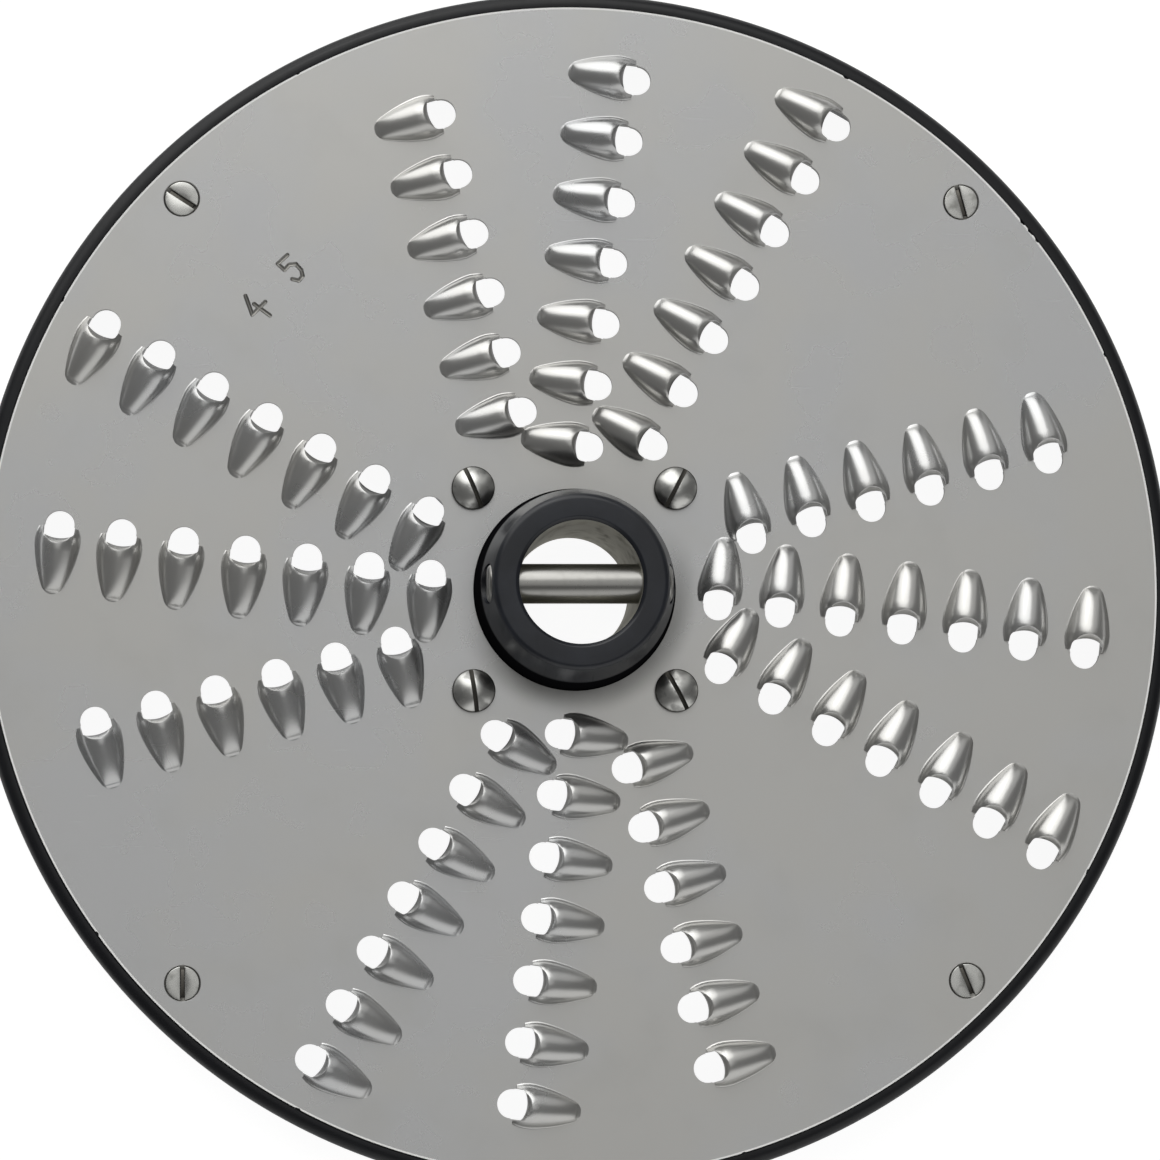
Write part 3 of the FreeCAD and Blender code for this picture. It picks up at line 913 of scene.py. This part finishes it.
    def mouth(self) -> bpy.types.Object:
        """Models the tool that cuts the dome's front away, wider towards its top.

        Returns:
            The tool.
        """
        corners = [*self.lip, *((x, -y, radius) for x, y, radius in reversed(self.lip[:2]))]
        points = [Vector((*spot, 0)) * MM for spot in rounded(corners, True, self.lip_steps)]
        tool = drawn("mouth", points + points[:1])
        low, high = self.radius, self.radius * 2
        grow = 1 + high * self.lip_slope / self.lip_reach
        with editing(tool):
            bpy.ops.mesh.remove_doubles(threshold=DOUBLES)
            bpy.ops.mesh.edge_face_add()
            raise_by(low + self.lip_level)
            raise_by(high)
            bpy.ops.transform.resize(value=(grow, grow, 1), center_override=(0, 0, 0))
            bpy.ops.mesh.select_all(action="SELECT")
            bpy.ops.mesh.normals_make_consistent(inside=False)
        tool.data.transform(shifted(0, 0, -low))
        return tool

    def opening(self, depth: float) -> bpy.types.Object:
        """Models the tapered cut under the dome, along X, as deep as the sheet.

        Args:
            depth: the sheet's thickness in millimetres.

        Returns:
            The tool.
        """
        reaches = [reach for reach in self.reaches() if self.half_width(reach) > self.opening_least]
        half = self.half_width(0) - self.wall
        side = [Vector((self.opening_front, half, 0))]
        for reach in reaches:
            side.append(Vector((self.front + reach, self.half_width(reach) - self.wall, 0)))
        far = [Vector((spot.x, -spot.y, 0)) for spot in reversed(side)]
        points = [spot * MM for spot in side + far]
        plan = drawn("opening", points + points[:1])
        with editing(plan):
            bpy.ops.mesh.remove_doubles(threshold=DOUBLES)
            bpy.ops.mesh.edge_face_add()
            raise_by(depth * 2)
            bpy.ops.mesh.select_all(action="SELECT")
            bpy.ops.mesh.normals_make_consistent(inside=False)
        plan.data.transform(shifted(0, 0, -depth * 1.5))
        return plan


@dataclass
class Engraving:
    """Figures cut into the sheet as round-bottomed grooves, each a few strokes in millimetres."""

    radius: float = 0.36
    lift: float = 0.13
    strokes: tuple[tuple[Point, ...], ...] = (
        ((-50.36, 45.12), (-49.32, 42.24), (-47.35, 44.20)),
        ((-49.04, 43.88), (-46.64, 42.13)),
        ((-43.95, 51.45), (-45.41, 50.08), (-44.38, 49.14), (-43.64, 49.95), (-42.64, 50.06),
         (-41.80, 49.14), (-41.60, 48.20), (-42.20, 47.50), (-43.18, 47.75)),
    )

    def groove(self, start: Point, end: Point) -> bpy.types.Object:
        """Models the tool of one straight groove with round ends.

        Args:
            start: one end of the stroke, in millimetres.
            end: its other end.

        Returns:
            The tool.
        """
        along = Vector((end[0] - start[0], end[1] - start[1], 0))
        corners = [(0, -self.radius, 0), (self.radius, -self.radius, self.radius * 0.9)]
        far = along.length + self.radius
        corners += [(self.radius, far, self.radius * 0.9), (0, far, 0)]
        tool = turned("groove", rounded(corners, False, 5), 32, closed=False)
        aim = along.to_track_quat("Z", "Y").to_matrix().to_4x4()
        tool.data.transform(shifted(start[0], start[1], self.lift) @ aim)
        return tool

    def build(self) -> bpy.types.Object:
        """Models the tool of all the grooves.

        Returns:
            The grooves as one object.
        """
        grooves = [
            self.groove(start, end)
            for stroke in self.strokes
            for start, end in zip(stroke, stroke[1:])
        ]
        return merge(grooves, "grooves")


@dataclass
class EdgeNicks:
    """Small dents along the sheet's edge: (angle in degrees, bite, radius in millimetres)."""

    nicks: tuple[Triple, ...] = (
        (61.9, 0.28, 0.7), (39.3, 0.30, 0.9), (38.1, 0.26, 1.2), (37.0, 0.24, 0.6),
        (23.9, 0.22, 0.5), (215.7, 0.25, 0.6), (150.4, 0.20, 0.9), (241.8, 0.20, 1.0),
        (331.2, 0.18, 0.8), (118.0, 0.14, 0.5), (286.5, 0.16, 0.6), (192.3, 0.14, 0.5),
    )

    def build(self, edge: float, sheet: float) -> bpy.types.Object:
        """Models the tools that dent an edge of this radius.

        Args:
            edge: the sheet's radius in millimetres.
            sheet: its thickness.

        Returns:
            The tools as one object.
        """
        tools = []
        for angle, bite, radius in self.nicks:
            tool = cylinder("nick", radius, -2 * sheet, sheet, sides=9)
            tool.data.transform(around(angle) @ shifted(edge - bite + radius, 0, 0))
            tools.append(tool)
        return merge(tools, "nicks")


@dataclass
class GratingPlate:
    """The toothed sheet: four sectors, each with three rows of teeth, and eight screw holes."""

    finish: SheetSteel = field(default_factory=SheetSteel)
    tooth: Tooth = field(default_factory=Tooth)
    engraving: Engraving = field(default_factory=Engraving)
    nicks: EdgeNicks = field(default_factory=EdgeNicks)
    sheet: float = 1.0
    hub_opening: float = 15.55
    edge_break: float = 0.22
    first_reach: float = 22.18
    last_reach: float = 83.2
    step: float = 3.173
    shift: float = 0.5
    row_starts: tuple[int, ...] = (1, 0, 2)
    row_turn: float = 60.0
    row_spacing: float = 22.5
    sectors: int = 4
    wander: float = 1.2
    drift: float = 0.07
    seed: int = 7
    rim_screw_reach: float = 85.0
    rim_head: float = 2.84
    hub_screw_reach: float = 22.0
    hub_hole: float = 2.1
    edge_sides: int = 360
    hole_sides: int = 48
    sink_sides: int = 64
    opening_sides: int = 128
    sheet_smooth: float = 15.0
    tooth_smooth: float = 58.0

    def places(self, sector: int) -> list[Matrix]:
        """Returns the place of each tooth of one sector, a little off as the press left it.

        Args:
            sector: the sector's number, from 0.

        Returns:
            The places.
        """
        found = []
        dice = random.Random(self.seed + sector)
        for row, start in enumerate(self.row_starts):
            turn = self.row_turn + row * self.row_spacing + sector * 360.0 / self.sectors
            reach = self.first_reach + start * self.step
            while reach <= self.last_reach:
                off = [dice.uniform(-self.drift, self.drift) for _ in range(2)]
                own = around(90.0 + dice.uniform(-self.wander, self.wander))
                found.append(around(turn) @ shifted(reach + off[0], self.shift + off[1], 0) @ own)
                reach += len(self.row_starts) * self.step
        return found

    def on_diagonals(self, tool: bpy.types.Object, reach: float, name: str) -> bpy.types.Object:
        """Returns a tool copied to the four diagonals at a distance from the axis."""
        return copies(tool, [around(angle) @ shifted(reach, 0, 0) for angle in DIAGONALS], name)

    def blank(self) -> bpy.types.Object:
        """Models the flat sheet with its rounded edge, dents, figures and screw holes.

        Returns:
            The sheet with its top face at level 0.
        """
        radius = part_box("grating_plate")[1][0] / MM
        half = self.sheet / 2
        low = -2 * self.sheet
        plate = cylinder("toothed_sheet", radius, -self.sheet, 0, sides=self.edge_sides)
        bore = cylinder("hub_opening", self.hub_opening, low, self.sheet, sides=self.opening_sides)
        carve(plate, bore)
        carve(plate, self.nicks.build(radius, self.sheet))
        soften(plate, self.edge_break, segments=2)
        carve(plate, self.engraving.build(), crossing=True)
        sink = cylinder("sink", self.rim_head - self.sheet - half, -self.sheet - half, half,
                        sides=self.sink_sides, top_radius=self.rim_head + half)
        carve(plate, self.on_diagonals(sink, self.rim_screw_reach, "sinks"))
        clear = cylinder("clear", self.hub_hole, low, self.sheet, sides=self.hole_sides)
        carve(plate, self.on_diagonals(clear, self.hub_screw_reach, "clears"))
        return plate

    def build(self) -> None:
        """Models the sheet and its teeth and dresses them."""
        top = shifted(0, 0, level_of("grating_plate", Level.LOWEST) + self.sheet)
        sectors = [self.places(sector) for sector in range(self.sectors)]
        every = [place for places in sectors for place in places]
        plate = self.blank()
        carve(plate, copies(self.tooth.opening(self.sheet), every, "openings"))
        punch = cylinder(
            "punch", self.tooth.punch, -2 * self.sheet, self.sheet, sides=self.hole_sides,
        )
        carve(plate, copies(punch, every, "punches"))
        plate.data.transform(top)
        material = self.finish.build()
        dress(plate, material, "plate_steel", "grating_plate", smooth=self.sheet_smooth)
        pattern = self.tooth.build()
        for index, places in enumerate(sectors, 1):
            own = copy_of(pattern, Matrix.Identity(4), "tooth")
            teeth = copies(own, [top @ place for place in places], "teeth_%d" % index)
            dress(teeth, material, "plate_steel", "grating_plate", smooth=self.tooth_smooth)
        bpy.data.meshes.remove(pattern.data)


@dataclass
class Carrier:
    """The black moulding: a rim and a hub joined by four spokes."""

    finish: BlackPlastic = field(default_factory=BlackPlastic)
    radius: float = 92.5
    rim_inner: float = 87.0
    recess: float = 90.15
    shoulder: float = 1.8
    seat: float = 11.0
    land: float = 11.6
    plate_top: float = 12.0
    bevel: float = 0.8
    skirt: float = 18.5
    base: float = 15.4
    waist: float = 14.7
    waist_rise: float = 7.0
    crown: float = 13.2
    crown_round: float = 0.95
    rise: float = 14.0
    bush: float = 10.41
    mouth: float = 9.12
    mouth_bevel: float = 0.7
    spoke_width: float = 8.4
    spoke_floor: float = 3.0
    root: float = 1.0
    boss: float = 4.2
    boss_reach: float = 22.0
    pin_level: float = 21.9
    pin_radius: float = 3.05
    land_round: float = 0.15
    base_round: float = 0.2
    waist_round: float = 1.0
    mouth_round: float = 0.35
    lip_round: float = 0.15
    spoke_round: float = 0.5
    rim_steps: int = 288
    hub_steps: int = 192

    def rim(self) -> bpy.types.Object:
        """Turns the rim's ring.

        Returns:
            The ring.
        """
        corners = [
            (self.rim_inner, 0, self.bevel),
            (self.radius, 0, self.bevel),
            (self.radius, self.land, self.shoulder),
            (self.recess, self.land, self.land_round),
            (self.recess, self.seat, 0),
            (self.rim_inner, self.seat, 0),
        ]
        return turned("rim", rounded(corners, True), self.rim_steps)

    def hub(self) -> bpy.types.Object:
        """Turns the hub, and drills it for the pin.

        Returns:
            The hub.
        """
        top = self.plate_top + self.rise
        corners = [
            (self.bush, 0, 0),
            (self.skirt, 0, self.bevel),
            (self.skirt, self.seat, 0),
            (self.base, self.seat, 0),
            (self.base, self.plate_top, self.base_round),
            (self.waist, self.plate_top + self.waist_rise, self.waist_round),
            (self.crown, top, self.crown_round),
            (self.mouth + self.mouth_bevel, top, self.mouth_round),
            (self.mouth, top - self.mouth_bevel, self.lip_round),
            (self.bush, top - self.mouth_bevel, 0),
        ]
        hub = turned("hub", rounded(corners, True), self.hub_steps)
        drill = cylinder("pin_hole", self.pin_radius, -self.base * 1.5, self.base * 1.5, sides=64)
        drill.data.transform(shifted(0, 0, self.pin_level) @ Matrix.Rotation(math.pi / 2, 4, "Y"))
        carve(hub, drill)
        return hub

    def spoke(self) -> bpy.types.Object:
        """Models one spoke, with its boss beside the hub.

        Returns:
            The spoke along X.
        """
        half = self.spoke_width / 2
        near, far = self.skirt - self.root, self.rim_inner + self.root
        arm = block("spoke", (near, -half, self.spoke_floor), (far, half, self.seat))
        soften(arm, self.spoke_round, segments=3)
        boss = cylinder("boss", self.boss, self.spoke_floor, self.seat, (self.boss_reach, 0), 64)
        return merge([arm, boss], "spoke")

    def build(self) -> bpy.types.Object:
        """Models the whole moulding and dresses it.

        Returns:
            The dressed moulding.
        """
        turns = [around(angle) for angle in DIAGONALS]
        spokes = copies(self.spoke(), turns, "spokes")
        piece = merge([self.rim(), self.hub(), spokes], "carrier_moulding")
        dress(piece, self.finish.build(), "carrier_plastic", "carrier")
        return piece


@dataclass
class Bush:
    """The metal bush in the hub's bore."""

    finish: TurnedMetal = BUSH_METAL
    inner: float = 9.1
    relief: float = 9.35
    outer: float = 10.4
    bevel: float = 0.4
    relief_level: float = 18.6
    steps: int = 192

    def build(self) -> bpy.types.Object:
        """Turns the bush and dresses it.

        Returns:
            The dressed bush.
        """
        low = level_of("hub_bush", Level.LOWEST)
        high = level_of("hub_bush", Level.HIGHEST)
        outline = [
            (self.inner + self.bevel, low), (self.outer, low), (self.outer, high),
            (self.relief, high), (self.inner, self.relief_level), (self.inner, low + self.bevel),
        ]
        piece = turned("bore_bush", outline, self.steps)
        dress(piece, self.finish.build(), "bush_metal", "hub_bush")
        return piece


@dataclass
class CrossPin:
    """The steel pin across the bore."""

    finish: TurnedMetal = PIN_STEEL
    radius: float = 3.0
    rounding: float = 1.0
    inset: float = 0.5
    level: float = 21.9
    steps: int = 96

    def build(self) -> bpy.types.Object:
        """Turns the pin, lays it along X and dresses it.

        Returns:
            The dressed pin.
        """
        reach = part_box("drive_pin")[1][0] / MM - self.inset
        corners = [
            (0, -reach, 0), (self.radius, -reach, self.rounding),
            (self.radius, reach, self.rounding), (0, reach, 0),
        ]
        piece = turned("cross_pin", rounded(corners, False), self.steps, closed=False)
        piece.data.transform(shifted(0, 0, self.level) @ Matrix.Rotation(math.pi / 2, 4, "Y"))
        dress(piece, self.finish.build(), "pin_steel", "drive_pin")
        return piece


@dataclass
class SlottedScrews:
    """Four slotted screws on one circle, each driven home at its own turn."""

    name: str
    node: str
    reach: float
    thread: float
    tip_bevel: float
    length: float
    slot_width: float
    slot_depth: float
    turns: tuple[float, ...]
    finish: TurnedMetal
    seat: float = 12.0
    edge_break: float = 0.1
    slot_reach: float = 9.0
    smooth: float = 35.0
    steps: int = 72

    def head(self) -> list[Triple]:
        """Returns the corners of the head's outline, from the shank to the axis.

        Returns:
            (radius, height, rounding) of each corner, in millimetres.
        """
        raise NotImplementedError

    def build(self) -> None:
        """Turns one screw, cuts its slot, and sets a copy at each place."""
        corners = [(0, -self.length, 0), (self.thread - self.tip_bevel, -self.length, 0)]
        corners += [(self.thread, self.tip_bevel - self.length, 0), *self.head()]
        pattern = turned(self.name, rounded(corners, False), self.steps, closed=False)
        top = corners[-1][1]
        half = self.slot_width / 2
        far = self.slot_reach
        carve(pattern, block("slot", (-far, -half, top - self.slot_depth), (far, half, top + 1)))
        soften(pattern, self.edge_break, 40.0, 2)
        material = self.finish.build()
        for index, (angle, turn) in enumerate(zip(DIAGONALS, self.turns), 1):
            place = around(angle) @ shifted(self.reach, 0, self.seat) @ around(turn - angle)
            screw = copy_of(pattern, place, "%s_%d" % (self.name, index))
            dress(screw, material, "screw_steel", "%s_%d" % (self.node, index), smooth=self.smooth)
        bpy.data.meshes.remove(pattern.data)


@dataclass
class RimScrews(SlottedScrews):
    """Countersunk screws near the rim."""

    head_radius: float = 2.75

    def head(self) -> list[Triple]:
        """Returns the corners of a flat countersunk head."""
        depth = self.head_radius - self.thread
        return [(self.thread, -depth, 0), (self.head_radius, 0, 0.12), (0, 0, 0)]


@dataclass
class HubScrews(SlottedScrews):
    """Round-headed screws beside the hub."""

    head_radius: float = 3.3
    side: float = 0.9
    height: float = 2.3
    dome_steps: int = 10

    def head(self) -> list[Triple]:
        """Returns the corners of a domed head.

        Returns:
            (radius, height, rounding) of each corner, in millimetres.
        """
        swell = self.height - self.side
        crown = (self.head_radius**2 + swell**2) / (2 * swell)
        corners = [(self.thread, 0, 0), (self.head_radius, 0, 0.1)]
        full = math.asin(self.head_radius / crown)
        for step in range(self.dome_steps + 1):
            angle = full * (1 - step / self.dome_steps)
            height = self.height - crown * (1 - math.cos(angle))
            corners.append((crown * math.sin(angle), height, 0))
        return corners


@dataclass
class Inserts:
    """The brass inserts, hidden in the spokes."""

    finish: TurnedMetal = INSERT_BRASS
    families: tuple[str, ...] = ("rim_insert", "hub_insert")

    def build(self) -> None:
        """Dresses each insert as it is."""
        material = self.finish.build()
        for family in self.families:
            for index in range(4):
                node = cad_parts["%s_%d" % (family, index + 1)]
                node.data.materials.clear()
                node.data.materials.append(material)
                LOG.info("%s: dressed", node.name)


# The studio


@dataclass
class Lamp:
    """A square soft lamp that looks at the disc."""

    name: str
    spot: Triple
    size: float
    power: float
    colour: Colour = (1.0, 1.0, 1.0)

    def build(self) -> None:
        """Hangs the lamp."""
        lamp = bpy.data.lights.new(self.name, "AREA")
        lamp.shape = "SQUARE"
        lamp.size = self.size
        lamp.energy = self.power
        lamp.color = self.colour
        holder = bpy.data.objects.new(self.name, lamp)
        holder.location = self.spot
        holder.rotation_euler = (-Vector(self.spot)).to_track_quat("-Z", "Y").to_euler()
        bpy.context.collection.objects.link(holder)


@dataclass(frozen=True)
class Window:
    """A soft oval light overhead, placed and measured by the sine of the angle from straight up."""

    middle: Point
    half: Point
    turn: float
    strength: float
    soft: float = 0.4

    def glow(self, bench: Bench, aim: Signal) -> Signal:
        """Returns the light that comes from one direction.

        Args:
            bench: the world's bench.
            aim: the direction as a unit vector.

        Returns:
            The strength there, from 0 to the window's own.
        """
        along = math.radians(self.turn)
        axes = ((math.cos(along), math.sin(along)), (-math.sin(along), math.cos(along)))
        inside: Signal | float = 1.0
        for axis, half in zip(axes, self.half):
            centre = self.middle[0] * axis[0] + self.middle[1] * axis[1]
            off = (bench.along(aim, (*axis, 0.0)) - centre) * (1 / half)
            inside = inside - off * off
        return inside.ramp(0.0, self.soft) * self.strength


@dataclass
class Studio:
    """The floor, the lights and the camera at the photograph's angle."""

    foot: tuple[float, float] = (-46.0, -54.0)
    height: float = 612.0
    tilt: float = 3.0
    bearing: float = 41.23
    roll: float = -0.172
    focal_pixels: float = 3930.3
    frame_pixels: float = 1160.0
    centre_pixel: tuple[float, float] = (574.6, 589.7)
    sensor: float = 36.0
    ground: float = 0.13
    room: Colour = (1.0, 1.0, 0.985)
    floor_gap: float = 0.02
    floor_size: float = 12.0
    floor_grey: float = 0.78
    floor_shade: float = 0.22
    floor_glow: float = 0.93
    mirrored_share: float = 0.45
    windows: tuple[Window, ...] = (
        Window(middle=(0.09, 0.05), half=(0.35, 0.36), turn=0.0, strength=0.505),
        Window(middle=(-0.24, 0.67), half=(0.56, 0.42), turn=-8.0, strength=1.85),
        Window(middle=(0.42, 0.54), half=(0.36, 0.34), turn=0.0, strength=0.42),
    )
    low_aim: Triple = (0.307, -0.952, 0.0)
    low_range: Point = (0.52, 0.80)
    low_strength: float = 0.74
    aimed_level: float = 12.0
    near_clip: float = 0.01
    lamps: tuple[Lamp, ...] = (
        Lamp("back_lamp", (-0.35, 1.3, 1.1), 0.28, 1.2),
    )

    def floor(self) -> None:
        """Lays a white floor that keeps a faint shadow.

        From below it can be looked through, so that the disc's underside shows.
        """
        place = (0, 0, -self.floor_gap * MM)
        bpy.ops.mesh.primitive_plane_add(size=self.floor_size, location=place)
        floor = bpy.context.object
        floor.name = "floor"
        bench = Bench(bpy.data.materials.new("white_floor"))
        plain = bench.add("ShaderNodeBsdfDiffuse", None, {"Color": rgba((self.floor_grey,) * 3)})
        shade = bench.add("ShaderNodeBsdfDiffuse", None, {"Color": rgba((self.floor_shade,) * 3)})
        white = {"Color": rgba((1.0, 1.0, 1.0)), "Strength": self.floor_glow}
        glow = bench.add("ShaderNodeEmission", None, white)
        both = bench.add("ShaderNodeAddShader", None, {0: shade, 1: glow})
        seen = bench.add("ShaderNodeLightPath", output="Is Camera Ray")
        mirrored = bench.add("ShaderNodeLightPath", output="Is Glossy Ray")
        bright = seen + mirrored * self.mirrored_share
        lit = bench.add("ShaderNodeMixShader", None, {0: bright, 1: plain, 2: both})
        below = bench.add("ShaderNodeNewGeometry", output="Backfacing")
        clear = bench.add("ShaderNodeBsdfTransparent")
        both_sides = bench.add("ShaderNodeMixShader", None, {0: below, 1: lit, 2: clear})
        bench.add("ShaderNodeOutputMaterial", None, {"Surface": both_sides})
        floor.data.materials.append(bench.owner)

    def world(self) -> None:
        """Surrounds the disc with a soft room that is white to the camera.

        Its light comes from soft windows above and behind the disc and from low at its front.
        """
        room = bpy.data.worlds.new("room")
        bpy.context.scene.world = room
        bench = Bench(room)
        aim = bench.add("ShaderNodeTexCoord", output="Generated")
        low = bench.along(aim, self.low_aim).ramp(*self.low_range)
        glow = low * self.low_strength + self.ground
        for window in self.windows:
            glow = glow + window.glow(bench, aim)
        coloured = {"Color": rgba(self.room), "Strength": glow}
        light = bench.add("ShaderNodeBackground", None, coloured)
        white = bench.add("ShaderNodeBackground", None, {"Color": rgba((1.0, 1.0, 1.0))})
        seen = bench.add("ShaderNodeLightPath", output="Is Camera Ray")
        mix = bench.add("ShaderNodeMixShader", None, {0: seen, 1: light, 2: white})
        bench.add("ShaderNodeOutputWorld", None, {"Surface": mix})

    def camera(self) -> None:
        """Sets the camera over the disc's lower left, tilted and shifted as in the photograph."""
        spot = Vector((*self.foot, self.height))
        slope = math.radians(self.tilt)
        bearing = math.radians(self.bearing)
        gaze = Vector((math.cos(bearing), math.sin(bearing), 0)) * math.sin(slope)
        gaze.z = -math.cos(slope)
        side = gaze.cross(Vector((0, 1, 0))).normalized()
        side.rotate(Matrix.Rotation(-math.radians(self.roll), 3, gaze))
        up = side.cross(gaze)
        basis = Matrix((side, up, -gaze)).transposed()
        lens = bpy.data.cameras.new("view")
        lens.sensor_width = self.sensor
        lens.lens = self.focal_pixels / self.frame_pixels * self.sensor
        lens.clip_start = self.near_clip
        target = Vector((0, 0, self.aimed_level)) - spot
        depth = target.dot(gaze)
        across = target.dot(side) / depth * self.focal_pixels
        above = target.dot(up) / depth * self.focal_pixels
        middle = self.frame_pixels / 2
        lens.shift_x = (across - (self.centre_pixel[0] - middle)) / self.frame_pixels
        lens.shift_y = (above - (middle - self.centre_pixel[1])) / self.frame_pixels
        holder = bpy.data.objects.new("view", lens)
        holder.matrix_world = Matrix.Translation(spot * MM) @ basis.to_4x4()
        bpy.context.collection.objects.link(holder)
        bpy.context.scene.camera = holder

    def build(self) -> None:
        """Sets up the whole studio."""
        self.floor()
        self.world()
        for lamp in self.lamps:
            lamp.build()
        self.camera()
        bpy.context.scene.view_settings.view_transform = "Standard"


def main() -> None:
    """Builds every sub-assembly, then the studio."""
    logging.basicConfig(level=logging.INFO, format="%(message)s")
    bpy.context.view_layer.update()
    GratingPlate().build()
    Carrier().build()
    Bush().build()
    CrossPin().build()
    RimScrews(
        "rim_screw_head", "rim_screw", reach=85.0, thread=1.5, tip_bevel=0.4, length=7.0,
        slot_width=0.65, slot_depth=0.6, turns=(-75.0, 147.0, 90.0, -68.0), finish=RIM_SCREW_STEEL,
    ).build()
    HubScrews(
        "hub_screw_head", "hub_screw", reach=22.0, thread=2.0, tip_bevel=0.4, length=7.0,
        slot_width=0.68, slot_depth=1.42, turns=(62.0, -67.0, 98.0, -61.0), finish=HUB_SCREW_STEEL,
    ).build()
    Inserts().build()
    Studio().build()


if __name__ == "__main__":
    main()
